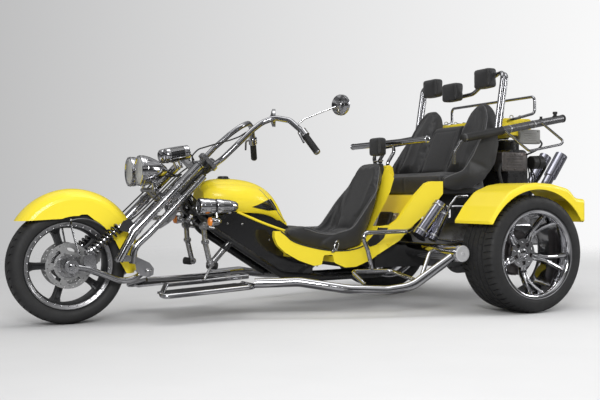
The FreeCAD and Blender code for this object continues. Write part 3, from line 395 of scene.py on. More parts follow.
    def outline(self, pts, y0, y1, bev=0.0):
        """A side-view outline (x, z) in millimetres from the axle, carried from y0 to y1."""
        bm = bmesh.new()
        lo_ = [bm.verts.new(P(x, y0, z)) for x, z in pts]
        f = bm.faces.new(lo_)
        r = bmesh.ops.extrude_face_region(bm, geom=[f])
        vs = [g for g in r["geom"] if isinstance(g, bmesh.types.BMVert)]
        bmesh.ops.translate(bm, vec=(0, (y1 - y0) * 0.001, 0), verts=vs)
        bmesh.ops.recalc_face_normals(bm, faces=bm.faces)
        if bev:
            bmesh.ops.bevel(bm, geom=list(bm.edges), offset=bev * 0.001, segments=2, affect="EDGES", profile=0.6)
        bm.verts.index_update()
        self.add([v.co.copy() for v in bm.verts], [[v.index for v in g.verts] for g in bm.faces])
        bm.free()

    def done(self, name, mat, body, angle=38.0):
        me = bpy.data.meshes.new(name)
        me.from_pydata(self.v, [], self.f)
        bm = bmesh.new(); bm.from_mesh(me)
        bmesh.ops.recalc_face_normals(bm, faces=bm.faces)
        bm.to_mesh(me); bm.free()
        ob = bpy.data.objects.new(name, me)
        SCENE.collection.objects.link(ob)
        me.materials.append(mat)
        soften(me, angle)
        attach(ob, body)
        return ob


def soften(me, angle=38.0):
    me.polygons.foreach_set("use_smooth", [True] * len(me.polygons))
    me.set_sharp_from_angle(angle=math.radians(angle))
    me.update()


def spin_y(profile, n, cx, cy, cz, side=1.0, radial=None, close=True):
    """Turn an (r, y) outline, in mm, about the line along Y through (cx, ., cz)."""
    m = len(profile)
    vs, fs = [], []
    for k in range(n):
        an = 2 * math.pi * k / n
        c, s = math.cos(an), math.sin(an)
        for r, y in profile:
            vs.append(P(cx + r * c, cy + side * y, cz + r * s))
    for k in range(n):
        k2 = (k + 1) % n
        for i in range(m if close else m - 1):
            j = (i + 1) % m
            fs.append((k * m + i, k * m + j, k2 * m + j, k2 * m + i))
    return vs, fs


# ------------------------------------------------------------------ wheels
def crs(points, per=6):
    """Catmull-Rom through 2-D points."""
    out = []
    n = len(points)
    for i in range(n - 1):
        p0, p1, p2, p3 = (np.array(points[max(i - 1, 0)], float), np.array(points[i], float), np.array(points[i + 1], float),
                          np.array(points[min(i + 2, n - 1)], float))
        for s in range(per):
            t = s / per
            out.append(0.5 * ((2 * p1) + (p2 - p0) * t + (2 * p0 - 5 * p1 + 4 * p2 - p3) * t * t + (3 * p1 - p0 - 3 * p2 + p3) * t ** 3))
    out.append(np.array(points[-1], float))
    return np.array(out)


def tyre(name, node, body, cx, cy, cz, half, tread_y, grooves, pitches, depth, shoulder_from, sipe_from, rings):
    """half: (r, y) from the bead out over the wall to the crown.  grooves: (y, width) round the tyre."""
    prof = crs(half, 4)
    wall = prof[prof[:, 1] > 0]
    cut = int(np.argmax(wall[:, 1]))                       # widest point of the wall
    crown = wall[cut:][::-1]                               # y rises again
    ys, rs = crown[:, 1], crown[:, 0]
    order = np.argsort(ys)
    ys, rs = ys[order], rs[order]

    def r_at(y):
        return float(np.interp(abs(y), ys, rs))
    marks = {0.0: 0.0, tread_y: 0.0}
    for gy, gw in grooves:
        for s in ((1,) if gy == 0 else (1, -1)):
            c = s * gy
            for e in (-1, 1):
                marks[round(c + e * gw / 2, 3)] = 0.0
                marks[round(c + e * (gw / 2 - 1.4), 3)] = depth
    base = [y for y in np.linspace(-tread_y, tread_y, 19)]
    for y in base:
        if all(abs(y - m) > 2.5 for m in marks):
            inside = any(abs(abs(y) - gy) < gw / 2 for gy, gw in grooves)
            marks[round(float(y), 3)] = depth if inside else 0.0
    marks[-tread_y] = 0.0
    tread = sorted(marks.items())
    lower = [(float(r), float(y)) for r, y in prof[: list(map(tuple, prof)).index(tuple(wall[cut]))]]
    upper = [(float(r), float(y)) for r, y in wall[cut:] if y > tread_y + 1.5]
    side = lower + upper
    side = [(r + next((h for rr, h in rings if abs(r - rr) < 2.0), 0.0) * 0.2, y) for r, y in side]
    outline = [(r, -y) for r, y in side] + [(r_at(y), y, d) for y, d in tread] + [(r, y) for r, y in reversed(side)]
    phases = [(0.05, 0), (0.06, 1), (0.23, 1), (0.24, 0), (0.50, 0), (0.51, 2), (0.57, 2), (0.58, 0)]
    vs, fs = [], []
    m = len(outline)
    cols = []
    for p in range(pitches):
        for ph, kind in phases:
            cols.append(((p + ph) / pitches, kind))
    slant = 0.55 / pitches
    for a0, kind in cols:
        for e in outline:
            r, y = e[0], e[1]
            an = a0
            d = 0.0
            if len(e) == 3:
                an = a0 + slant * (abs(y) / tread_y) ** 1.5
                d = e[2]
                ay = abs(y)
                if kind == 1 and ay > shoulder_from:
                    d = max(d, depth * 0.85)
                if kind == 2 and sipe_from < ay <= shoulder_from - 3:
                    d = max(d, depth * 0.6)
                if kind == 1 and ay < sipe_from * 0.75:
                    d = max(d, depth * 0.5 if ay > 2 else 0.0)
            else:
                an = a0 + slant * 1.0
                if kind == 1 and r > outline_edge(side, tread_y) - 9:
                    d = depth * 0.5
            t = 2 * math.pi * an
            vs.append(P(cx + (r - d) * math.cos(t), cy + y, cz + (r - d) * math.sin(t)))
    n = len(cols)
    for k in range(n):
        k2 = (k + 1) % n
        for i in range(m):
            j = (i + 1) % m
            fs.append((k * m + i, k * m + j, k2 * m + j, k2 * m + i))
    a = Acc(); a.add(vs, fs)
    ob = a.done(name, TYRE, body, 32)
    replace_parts(ob, node)
    return ob


def outline_edge(side, tread_y):
    return max(r for r, y in side)


REAR_HALF = [(246, 127), (256.5, 131), (261, 140), (268, 143.6), (281, 145), (296, 144.8), (308, 142), (318, 137), (326, 129.5),
             (330.5, 120), (333, 104), (334.6, 84), (335.6, 50), (336, 20), (336, 0)]
FRONT_HALF = [(223, 71), (232.5, 74), (237, 83), (245, 90), (256, 94), (268, 95), (280, 93), (290, 88), (299, 79.5), (304.5, 69),
              (308, 56), (310.4, 38), (311.7, 18), (312, 0)]
RWX, RWZ, RT_Y = -2446.0, 336.0, 785.0
FWZ = 312.0
tyre("tyre_front", "front_tyre", "front_wheel", 0, 0, FWZ, FRONT_HALF, 66.0, [(0, 7), (30, 8)], 46, 5.5, 34, 10,
     [(250, 5), (290, 4)])
for side, s in (("left", 1), ("right", -1)):
    tyre("tyre_rear_" + side, "rear_tyre_" + side, "rear_wheel_" + side, RWX, s * RT_Y, RWZ, REAR_HALF, 122.0,
         [(22, 9), (64, 10)], 56, 7.0, 70, 30, [(270, 6), (318, 5)])

# ---- front rim: polished channel, five H-section spokes, hub
lip = [(233, 75), (233.0, 79.5), (231.5, 82), (228, 82), (224.5, 80.6), (220.5, 77.2), (215, 75.4), (209, 72.5), (205.5, 66), (203, 54),
       (200.5, 36), (199, 16), (198.5, 0)]
channel = lip + [(r, -y) for r, y in reversed(lip[:-1])] + [(219, -72), (219, 72)]
a = Acc()
a.add(*spin_y(channel, 128, 0, 0, FWZ))
rim = a.done("front_rim_channel", RIMGREY, "front_wheel", 40)
rim.data.materials.append(RIMLIP)
for p_ in rim.data.polygons:
    c_ = p_.center
    if math.hypot(c_.x - SH, c_.z - FWZ * 0.001) > 0.2085 and abs(c_.y) > 0.0718:
        p_.material_index = 1
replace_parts(rim, "front_rim")
a = Acc()
for k in range(34):
    an = 2 * math.pi * (k + 0.5) / 34
    for s in (1, -1):
        p = P(215 * math.cos(an), s * 75.2, FWZ + 215 * math.sin(an))
        a.dome(p, (0, s, 0), 5.6, 4.2, 14)
a.done("front_rim_rivets", RIMCHROME, "front_wheel", 60)


def bar_mesh(sections):
    """Joins closed section rings, listed root to tip."""
    vs, fs = [], []
    n = len(sections[0])
    for s in sections:
        vs.extend(s)
    for i in range(len(sections) - 1):
        for k in range(n):
            k2 = (k + 1) % n
            fs.append((i * n + k, i * n + k2, (i + 1) * n + k2, (i + 1) * n + k))
    fs.append(tuple(reversed(range(n))))
    fs.append(tuple(range((len(sections) - 1) * n, len(sections) * n)))
    return vs, fs


a = Acc()
for k in range(5):
    an = math.radians(72 * k)
    er = Vector((math.cos(an), 0, math.sin(an))); et = Vector((-math.sin(an), 0, math.cos(an)))
    secs = []
    for r, hw, hd, web in ((34, 22, 30, 1.0), (60, 19.5, 27, 0.75), (84, 18, 25, 0.42), (120, 17.5, 24, 0.40), (160, 18, 25, 0.40),
                           (178, 19.5, 28, 0.55), (188, 22, 33, 0.95), (201, 27, 40, 1.0)):
        w = hd * web                       # half height of the web between the two flanges
        fl = hw * 0.52
        ring = [(-hw, -hd + 2), (-hw + 2, -hd), (-fl - 1.5, -hd), (-fl, -hd + 1.5), (-fl + 1, -w), (fl - 1, -w), (fl, -hd + 1.5),
                (fl + 1.5, -hd), (hw - 2, -hd), (hw, -hd + 2), (hw, hd - 2), (hw - 2, hd), (fl + 1.5, hd), (fl, hd - 1.5), (fl - 1, w),
                (-fl + 1, w), (-fl, hd - 1.5), (-fl - 1.5, hd), (-hw + 2, hd), (-hw, hd - 2)]
        secs.append([P(0, 0, FWZ) + er * (r * .001) + et * (t * .001) + Vector((0, d * .001, 0)) for t, d in ring])
    a.add(*bar_mesh(secs))
hubp = [(0, 12), (0, 38), (3, 41.5), (10, 42), (24, 38), (40, 36), (62, 36), (84, 38), (100, 42), (114, 42), (121, 41.5), (124, 38), (124, 12)]
a.rev(P(0, -62, FWZ), P(0, 62, FWZ), hubp, 64, close=True)
a.done("front_rim_spokes", RIMGREY, "front_wheel", 30)

# ---- brake discs, cut from a polar grid so that every window is a real hole
def polar_plate(acc, cy, th, radii, n, hole, cx=0.0, cz=FWZ):
    """radii: list of r; hole(i, k) says whether the cell between radii i, i+1 and steps k, k+1 is open."""
    m = len(radii)
    vs = []
    for s in (-0.5, 0.5):
        for r in radii:
            for k in range(n):
                an = 2 * math.pi * k / n
                vs.append(P(cx + r * math.cos(an), cy + s * th, cz + r * math.sin(an)))

    def idx(s, i, k):
        return (s * m + i) * n + k % n
    fs = []
    solid = {(i, k): not hole(i, k) for i in range(m - 1) for k in range(n)}
    for (i, k), ok in solid.items():
        if not ok:
            continue
        fs.append((idx(0, i, k), idx(0, i + 1, k), idx(0, i + 1, k + 1), idx(0, i, k + 1)))
        fs.append((idx(1, i, k), idx(1, i, k + 1), idx(1, i + 1, k + 1), idx(1, i + 1, k)))
        if i == 0 or not solid[(i - 1, k)]:
            fs.append((idx(0, i, k), idx(0, i, k + 1), idx(1, i, k + 1), idx(1, i, k)))
        if i == m - 2 or not solid[(i + 1, k)]:
            fs.append((idx(0, i + 1, k), idx(1, i + 1, k), idx(1, i + 1, k + 1), idx(0, i + 1, k + 1)))
        if not solid[(i, (k - 1) % n)]:
            fs.append((idx(0, i, k), idx(1, i, k), idx(1, i + 1, k), idx(0, i + 1, k)))
        if not solid[(i, (k + 1) % n)]:
            fs.append((idx(0, i, k + 1), idx(0, i + 1, k + 1), idx(1, i + 1, k + 1), idx(1, i, k + 1)))
    acc.add(vs, fs)


def disc_hole(i, k):
    deg = k * 2.0 + 1.0
    if i == 2:                                    # between r 78 and 96
        for c in range(5):
            if abs((deg - (36 + 72 * c) + 180) % 360 - 180) < 25:
                return True
    if i in (4, 6) and int(deg // 12) % 2 == (0 if i == 4 else 1) and 4 < deg % 12 < 8:
        return True                               # cross-drilled pattern
    return False


for side, s in (("left", 1), ("right", -1)):
    a = Acc()
    polar_plate(a, s * 68.5, 5.0, [60, 70, 78, 96, 101, 105, 110, 114, 122], 180, disc_hole)
    d = a.done("brake_rotor_" + side, DISC, "front_wheel", 30)
    if s > 0:
        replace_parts(d, "front_discs")
    a = Acc()
    a.rev(P(0, s * 60, FWZ), P(0, s * 73, FWZ), [(0, 26), (0, 64), (2, 67), (9, 66), (12.5, 62), (13, 44), (10.5, 40), (10.5, 26)], 64, close=True)
    for k in range(5):
        an = math.radians(36 + 72 * k)
        a.hexhead(P(54 * math.cos(an), s * 72.4, FWZ + 54 * math.sin(an)), (0, s, 0), 5.5, 5)
        a.rev(P(69 * math.cos(an + .63), s * 66, FWZ + 69 * math.sin(an + .63)), P(69 * math.cos(an + .63), s * 76, FWZ + 69 * math.sin(an + .63)),
              [(0, 6), (7.2, 6), (8.4, 4.6), (8.4, 0)], 18)
    a.done("brake_carrier_" + side, STEEL, "front_wheel", 30)

# ---- rear rims: deep dish, five forked spokes that sweep out to the lip
r_lip = [(257, 131), (257, 136), (255.6, 138.6), (253, 139), (247, 138.4), (240, 136.8), (234.5, 133.8), (231.5, 128), (229.5, 118), (226, 96),
         (222, 60), (220, 20), (219, -40), (221, -90), (228, -120), (236, -132), (250, -136), (257, -134), (257, -128), (241, -124), (241, 126)]


def lerp(a_, b_, t):
    return a_ + (b_ - a_) * t


def prong(pts, wid, dep, s, cy):
    """pts: (r, angle deg, y) along the prong; wid, dep: half width and depth there, mm."""
    secs = []
    cen = [P(RWX + r * math.cos(math.radians(t)), cy + s * y, RWZ + r * math.sin(math.radians(t))) for r, t, y in pts]
    for i, c in enumerate(cen):
        tg = (cen[min(i + 1, len(cen) - 1)] - cen[max(i - 1, 0)]).normalized()
        out = Vector((0, s, 0)); out = (out - tg * out.dot(tg)).normalized()
        wv = tg.cross(out)
        w, d = wid[i] * .001, dep[i] * .001
        ring = [(-w, -d), (-w, -d * 0.25), (-w * 0.72, 0.0), (-w * 0.25, d * 0.10), (w * 0.25, d * 0.10), (w * 0.72, 0.0), (w, -d * 0.25), (w, -d)]
        secs.append([c + wv * x + out * y for x, y in ring])
    return bar_mesh(secs)


for side, s in (("left", 1), ("right", -1)):
    body = "rear_wheel_" + side
    cy = s * RT_Y
    a = Acc()
    a.add(*spin_y(r_lip, 128, RWX, cy, RWZ, side=s))
    r = a.done("rear_rim_barrel_" + side, RIMCHROME, body, 40)
    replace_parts(r, "rear_rim_" + side)
    a = Acc()
    for k in range(5):
        t0 = 265.5 + 72 * k
        for q in (1, -1):
            pts, wid, dep = [], [], []
            for i in range(13):
                u = i / 12.0
                rr = 71 + (233 - 71) * u
                fork = max(0.0, (u - 0.42) / 0.58)
                root = 1.0 - min(1.0, u / 0.42)
                ang = t0 + q * (math.degrees(math.asin(min(0.9, 9.5 / rr))) * (1.0 - fork * 0.4) + 9.0 * fork ** 1.25)
                yy = 13 + (117 - 13) * max(0.0, (u - 0.20) / 0.80) ** 1.6
                pts.append((rr, ang, yy))
                wid.append(11.5 - 1.0 * min(1, u * 2) + 4.5 * root + 2.4 * fork ** 3)
                dep.append(26 + 8 * root)
            a.add(*prong(pts, wid, dep, s, cy))
    # hub face with five deep lug wells and a cap
    n = 120
    radii = [15, 26, 33, 45.5, 57, 68.5, 84]

    def lug(i, kk):
        deg = kk * 3.0 + 1.5
        if i in (3, 4):
            for c in range(5):
                dd = abs((deg - (265.5 + 72 * c) + 180) % 360 - 180)
                if dd < (12.2 if i == 3 else 11.2):
                    return True
        return False
    polar_plate(a, cy + s * 6, 20, radii, n, lug, cx=RWX, cz=RWZ)
    a.done("rear_rim_spokes_" + side, RIMCHROME, body, 32)
    a = Acc()
    a.rev(P(RWX, cy - s * 10, RWZ), P(RWX, cy + s * 14, RWZ), [(0, 27), (27, 27), (29.5, 24), (31.5, 15), (32, 0)], 40)
    for c in range(5):
        an = math.radians(301.5 + 72 * c)
        a.dome(P(RWX + 66 * math.cos(an), cy + s * 15.6, RWZ + 66 * math.sin(an)), (0, s, 0), 6, 4.5, 14)
        a.dome(P(RWX + 42 * math.cos(an), cy + s * 15.6, RWZ + 42 * math.sin(an)), (0, s, 0), 3.6, 3, 12)
    a.rev(P(RWX, cy + s * 15, RWZ), P(RWX, cy + s * 19, RWZ), [(0, 30), (0, 37), (2, 37), (4, 35), (4, 30)], 48, close=True)
    a.done("rear_hub_cap_" + side, CHROME, body, 32)
    a = Acc()
    a.rev(P(RWX, cy - s * 22, RWZ), P(RWX, cy - s * 4, RWZ), [(0, 30), (0, 84), (14, 84), (18, 80), (18, 30)], 60, close=True)
    for c in range(5):
        an = math.radians(265.5 + 72 * c)
        q = P(RWX + 57 * math.cos(an), cy - s * 5, RWZ + 57 * math.sin(an))
        a.hexhead(q, (0, s, 0), 7.5, 9)
    a.done("rear_lug_wells_" + side, DARKMETAL, body, 32)
    a = Acc()
    a.rev(P(RWX, cy - s * 118, RWZ), P(RWX, cy - s * 34, RWZ), [(0, 60), (0, 128), (4, 132), (60, 132), (72, 130), (80, 124), (84, 112), (84, 40), (78, 30), (78, 18)], 72)
    for k in range(36):
        an = 2 * math.pi * k / 36
        a.box(P(RWX + 131 * math.cos(an), cy - s * 82, RWZ + 131 * math.sin(an)), (5, 60, 4), Matrix.Rotation(-an, 3, "Y"), 1.0, 1)
    a.done("rear_brake_drum_" + side, DARKMETAL, body, 32)

# ------------------------------------------------------------------ padded seats
def solids_of(node):
    """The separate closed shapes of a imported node, as (vertices, faces)."""
    o = NODES[node]
    bm = bmesh.new()
    bm.from_mesh(o.data)
    bm.transform(o.matrix_world)
    bmesh.ops.remove_doubles(bm, verts=bm.verts, dist=2e-5)
    bm.verts.index_update(); bm.verts.ensure_lookup_table()
    seen, out = set(), []
    for v0 in bm.verts:
        if v0.index in seen:
            continue
        stack, group = [v0], []
        seen.add(v0.index)
        while stack:
            v = stack.pop(); group.append(v)
            for e in v.link_edges:
                w = e.other_vert(v)
                if w.index not in seen:
                    seen.add(w.index); stack.append(w)
        ids = {v.index: i for i, v in enumerate(group)}
        faces = {f for v in group for f in v.link_faces}
        out.append(([v.co.copy() for v in group], [[ids[v.index] for v in f.verts] for f in faces]))
    bm.free()
    return out


def arrays(me):
    n = len(me.vertices)
    co = np.empty(n * 3); me.vertices.foreach_get("co", co)
    no = np.empty(n * 3); me.vertices.foreach_get("normal", no)
    ed = np.empty(len(me.edges) * 2, dtype=int); me.edges.foreach_get("vertices", ed)
    return co.reshape(-1, 3), no.reshape(-1, 3), ed.reshape(-1, 2)


def laplace(co, ed, times, amount=0.5):
    deg = np.bincount(ed.ravel(), minlength=len(co)).reshape(-1, 1)
    for _ in range(times):
        acc = np.zeros_like(co)
        np.add.at(acc, ed[:, 0], co[ed[:, 1]])
        np.add.at(acc, ed[:, 1], co[ed[:, 0]])
        co = co * (1 - amount) + acc / np.maximum(deg, 1) * amount
    return co


def line_distance(co, lines):
    """Distance of every point from the nearest of several polylines."""
    best = np.full(len(co), 1e9)
    for ln in lines:
        q = np.array([tuple(p) for p in ln])
        for a_, b_ in zip(q[:-1], q[1:]):
            d = b_ - a_
            t = np.clip(((co - a_) @ d) / max(d @ d, 1e-12), 0, 1)
            best = np.minimum(best, np.linalg.norm(co - (a_ + t[:, None] * d), axis=1))
    return best


def soft(name, shape, node, voxel, shrink, cap, lines=(), hold=None, dish=None, pressure=4.0, groove=4.0, wide=5.0, round_=4,
         body="chassis", mat=LEATHER):
    verts, faces = shape
    me = bpy.data.meshes.new(name + "_cut")
    me.from_pydata(verts, [], faces)
    ob = bpy.data.objects.new(name, me)
    SCENE.collection.objects.link(ob)
    rm = ob.modifiers.new("remesh", "REMESH")
    rm.mode = "VOXEL"; rm.voxel_size = voxel * 0.001
    dg = bpy.context.evaluated_depsgraph_get()
    me2 = bpy.data.meshes.new_from_object(ob.evaluated_get(dg))
    ob.modifiers.remove(rm)
    co, no, ed = arrays(me2)
    co = laplace(co - no * (shrink * 0.001), ed, round_)
    near = line_distance(co, lines) if lines else np.full(len(co), 1e9)
    if dish is not None:
        co = co - no * (dish(co, no) * 0.001)[:, None]
    me2.vertices.foreach_set("co", co.ravel())
    me2.update()
    ob.data = me2
    rest = hold(co) if hold is not None else np.zeros(len(co), bool)
    vg = ob.vertex_groups.new(name="held")
    pinned = np.nonzero((near < voxel * 0.0008) | rest)[0]
    vg.add([int(i) for i in pinned], 1.0, "REPLACE")
    c = ob.modifiers.new("cloth", "CLOTH")
    s = c.settings
    s.quality = 4
    s.mass = 0.3
    s.air_damping = 4.0
    s.tension_stiffness = s.compression_stiffness = 22.0
    s.shear_stiffness = 10.0
    s.bending_stiffness = 1.2
    s.tension_damping = s.compression_damping = s.shear_damping = 12.0
    s.use_pressure = True
    s.uniform_pressure_force = pressure
    s.effector_weights.gravity = 0.0
    s.vertex_group_mass = "held"
    c.point_cache.frame_start = 1
    c.point_cache.frame_end = 20
    for fr in range(1, 21):
        SCENE.frame_set(fr)
    dg = bpy.context.evaluated_depsgraph_get()
    me3 = bpy.data.meshes.new_from_object(ob.evaluated_get(dg))
    ob.modifiers.remove(c)
    co3, no3, _ = arrays(me3)
    if np.isfinite(co3).all() and len(co3) == len(co):
        d = co3 - co
        L = np.linalg.norm(d, axis=1)
        k = np.minimum(1.0, cap * 0.001 / np.maximum(L, 1e-9))
        co = co + d * k[:, None]
        print("PAD", name, len(co), "moved mean %.1f max %.1f mm" % (L.mean() * 1e3, L.max() * 1e3))
    me3.vertices.foreach_set("co", co.ravel())
    me3.update()
    ob.data = me3
    co, no, ed = arrays(ob.data)
    co = laplace(co, ed, 1)
    if lines:
        co = co - no * (groove * 0.001 * np.exp(-(near / (wide * 0.001)) ** 2))[:, None]
    ob.data.vertices.foreach_set("co", co.ravel())
    ob.data.update()
    sb = ob.modifiers.new("subd", "SUBSURF")
    sb.levels = 1; sb.render_levels = 1
    dg = bpy.context.evaluated_depsgraph_get()
    me4 = bpy.data.meshes.new_from_object(ob.evaluated_get(dg))
    ob.modifiers.remove(sb)
    ob.vertex_groups.clear()
    me4.name = name
    ob.data = me4
    me4.materials.clear(); me4.materials.append(mat)
    me4.polygons.foreach_set("use_smooth", [True] * len(me4.polygons))
    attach(ob, body)
    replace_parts(ob, node)
    return ob


def tree_of(ob):
    return BVHTree.FromPolygons([v.co.copy() for v in ob.data.vertices], [list(p.vertices) for p in ob.data.polygons])


def piping(name, ob, pts, r=3.2, step=0.012, body="chassis", mat=PIPING, lift=0.0, reach=0.05):
    """A welt that follows the pad's own surface along a path."""
    t = tree_of(ob)
    pts = [Vector(p) for p in pts]
    dense = []
    for a_, b_ in zip(pts[:-1], pts[1:]):
        k = max(1, int((b_ - a_).length / step))
        dense += [a_.lerp(b_, i / k) for i in range(k)]
    dense.append(pts[-1])
    q = []
    for p in dense:
        h = t.find_nearest(p, reach)
        if h[0] is not None:
            q.append(h[0] + h[1] * lift)
    if len(q) < 3:
        return None
    for _ in range(3):
        q = [q[0]] + [(q[i - 1] + q[i] * 2 + q[i + 1]) / 4 for i in range(1, len(q) - 1)] + [q[-1]]
    a = Acc(); a.tube(q, r, 8, smooth=0)
    o = a.done(name, mat, body, 60)
    return o


# Driver's seat: a dished middle between two bolsters, and the shoulder above them.
def seat_dish(co, no):
    y = np.abs(co[:, 1]) * 1000
    x = (co[:, 0] - SH) * 1000
    front = np.clip(no[:, 0] * 0.8 + no[:, 2] * 0.9, 0, 1) ** 0.7
    mid = 1.0 / (1.0 + np.exp((y - 128) / 9.0))
    along = 1.0 / (1.0 + np.exp((x + 1380) / 25.0)) * (1.0 / (1.0 + np.exp(-(x + 1880) / 14.0)) * 0.75 + 0.25)
    return 17.0 * front * mid * along


seat_lines = []
for s in (1, -1):
    seat_lines.append([P(-1330, s * 128, 500), P(-1440, s * 132, 462), P(-1560, s * 132, 436), P(-1650, s * 130, 436), P(-1712, s * 128, 480),
                       P(-1752, s * 128, 575), P(-1800, s * 126, 690), P(-1860, s * 116, 815), P(-1888, s * 92, 872)])
    seat_lines.append([P(-1500, s * 226, 446), P(-1590, s * 226, 462), P(-1645, s * 226, 486), P(-1700, s * 226, 556), P(-1752, s * 222, 625),
                       P(-1812, s * 208, 700), P(-1852, s * 184, 745)])
# two sewn lines across the squab and the back
for x_, z_ in ((-1520, 440), (-1735, 545)):
    seat_lines.append([P(x_, -118, z_), P(x_, 118, z_)])
drv = soft("driver_seat_pad", solids_of("driver_seat")[0], "driver_seat", 9.0, 7.0, 24, lines=seat_lines, dish=seat_dish,
           hold=lambda co: co[:, 2] < 0.392, groove=5.0, wide=7.0, round_=6)
for side, s in (("l", 1), ("r", -1)):
    piping("driver_seat_welt_" + side, drv,
           [P(-1330, s * 218, 488), P(-1420, s * 222, 464), P(-1520, s * 224, 454), P(-1600, s * 224, 470), P(-1645, s * 222, 486),
            P(-1692, s * 222, 545), P(-1742, s * 220, 610), P(-1772, s * 218, 650), P(-1815, s * 208, 698), P(-1850, s * 188, 730),
            P(-1864, s * 166, 772), P(-1886, s * 150, 830), P(-1902, s * 136, 868)])

# Passenger bench: one cushion for two.
def bench_dish(co, no):
    y = (co[:, 1]) * 1000
    x = (co[:, 0] - SH) * 1000
    top = np.clip(no[:, 2], 0, 1)
    d = np.zeros(len(co))
    for c in (-205, 205):
        d += 11.0 * np.exp(-((y - c) / 95.0) ** 2) * np.exp(-((x + 2330) / 90.0) ** 2)
    return d * top


bench_lines = [[P(-2150, 0, 800), P(-2320, 0, 808), P(-2500, 0, 796)], [P(-2146, 0, 690), P(-2146, 0, 795)],
               [P(-2176, -380, 806), P(-2176, 380, 806)]]
bench = soft("bench_cushion_pad", solids_of("bench_cushion")[0], "bench_cushion", 10.5, 5.0, 24, lines=bench_lines, dish=bench_dish,
             hold=lambda co: co[:, 2] < 0.690, groove=4.5, wide=7.0, round_=4)
piping("bench_cushion_welt", bench, [P(-2480, 396, 792), P(-2300, 398, 800), P(-2180, 396, 804), P(-2150, 380, 796), P(-2148, 200, 797),
                                     P(-2148, 0, 797), P(-2148, -200, 797), P(-2150, -380, 796), P(-2180, -396, 804), P(-2300, -398, 800),
                                     P(-2480, -396, 792)], r=3.0)

for i, shape in enumerate(sorted(solids_of("bench_backrests"), key=lambda q: sum(v.y for v in q[0]) / len(q[0]))):
    cy = sum(v.y for v in shape[0]) / len(shape[0])
    nm = "backrest_" + ("middle" if abs(cy) < 0.05 else "left" if cy > 0 else "right")
    if abs(cy) < 0.05:
        soft(nm + "_pad", shape, "bench_backrests", 9.5, 5.0, 22, lines=[[P(-2372, -118, 840), P(-2478, -118, 1092), P(-2478, 118, 1092),
                                                                    P(-2372, 118, 840)]],
             hold=lambda co: co[:, 0] < SH - 2.556, groove=3.5, wide=6.0, round_=4)
        continue
    s = 1 if cy > 0 else -1

    def dish(co, no, s=s):
        y = s * co[:, 1] * 1000
        z = co[:, 2] * 1000
        f = np.clip(no[:, 0], 0, 1)
        return 13.0 * f * np.exp(-((y - 275) / 88.0) ** 2) / (1.0 + np.exp((z - 1130) / 30.0))
    seam = [P(-2160, s * 436, 776), P(-2200, s * 436, 798), P(-2292, s * 436, 838), P(-2345, s * 436, 880), P(-2381, s * 436, 925),
            P(-2412, s * 436, 1000), P(-2460, s * 434, 1066), P(-2488, s * 420, 1100), P(-2516, s * 396, 1150), P(-2538, s * 350, 1222),
            P(-2545, s * 300, 1250)]
    inner = [P(-2350, s * 182, 815), P(-2430, s * 182, 1000), P(-2470, s * 196, 1100), P(-2505, s * 222, 1180), P(-2524, s * 270, 1222),
             P(-2520, s * 330, 1200), P(-2490, s * 372, 1130), P(-2450, s * 388, 1040), P(-2392, s * 390, 900)]
    ob = soft(nm + "_pad", shape, "bench_backrests", 9.5, 6.0, 26, lines=[inner, seam[1:7]], dish=dish,
              hold=lambda co: co[:, 0] < SH - 2.500 - np.clip((co[:, 2] - 0.9) * 0.30, 0, 0.08), groove=4.0, wide=6.5, round_=7, pressure=3.0)
    piping(nm + "_welt", ob, seam, r=3.0)

for i, shape in enumerate(sorted(solids_of("headrests"), key=lambda q: (sum(v.x for v in q[0]) / len(q[0]), sum(v.y for v in q[0])))):
    c = sum((v for v in shape[0]), Vector()) / len(shape[0])
    hy = 0.058 if c.x > SH - 2.2 else 0.074
    hz = 0.054 if c.x > SH - 2.2 else 0.056
    xf = max(v.x for v in shape[0]) - 0.016
    ring = [Vector((xf, c.y + hy * math.copysign(abs(math.cos(t)) ** 0.55, math.cos(t)), c.z + hz * math.copysign(abs(math.sin(t)) ** 0.55, math.sin(t))))
            for t in [2 * math.pi * k / 28 for k in range(29)]]
    ob = soft("headrest_pad_%d" % (i + 1), shape, "headrests", 6.0, 5.0, 10, lines=[ring], groove=2.6, wide=4.0, round_=3,
              pressure=5.0)

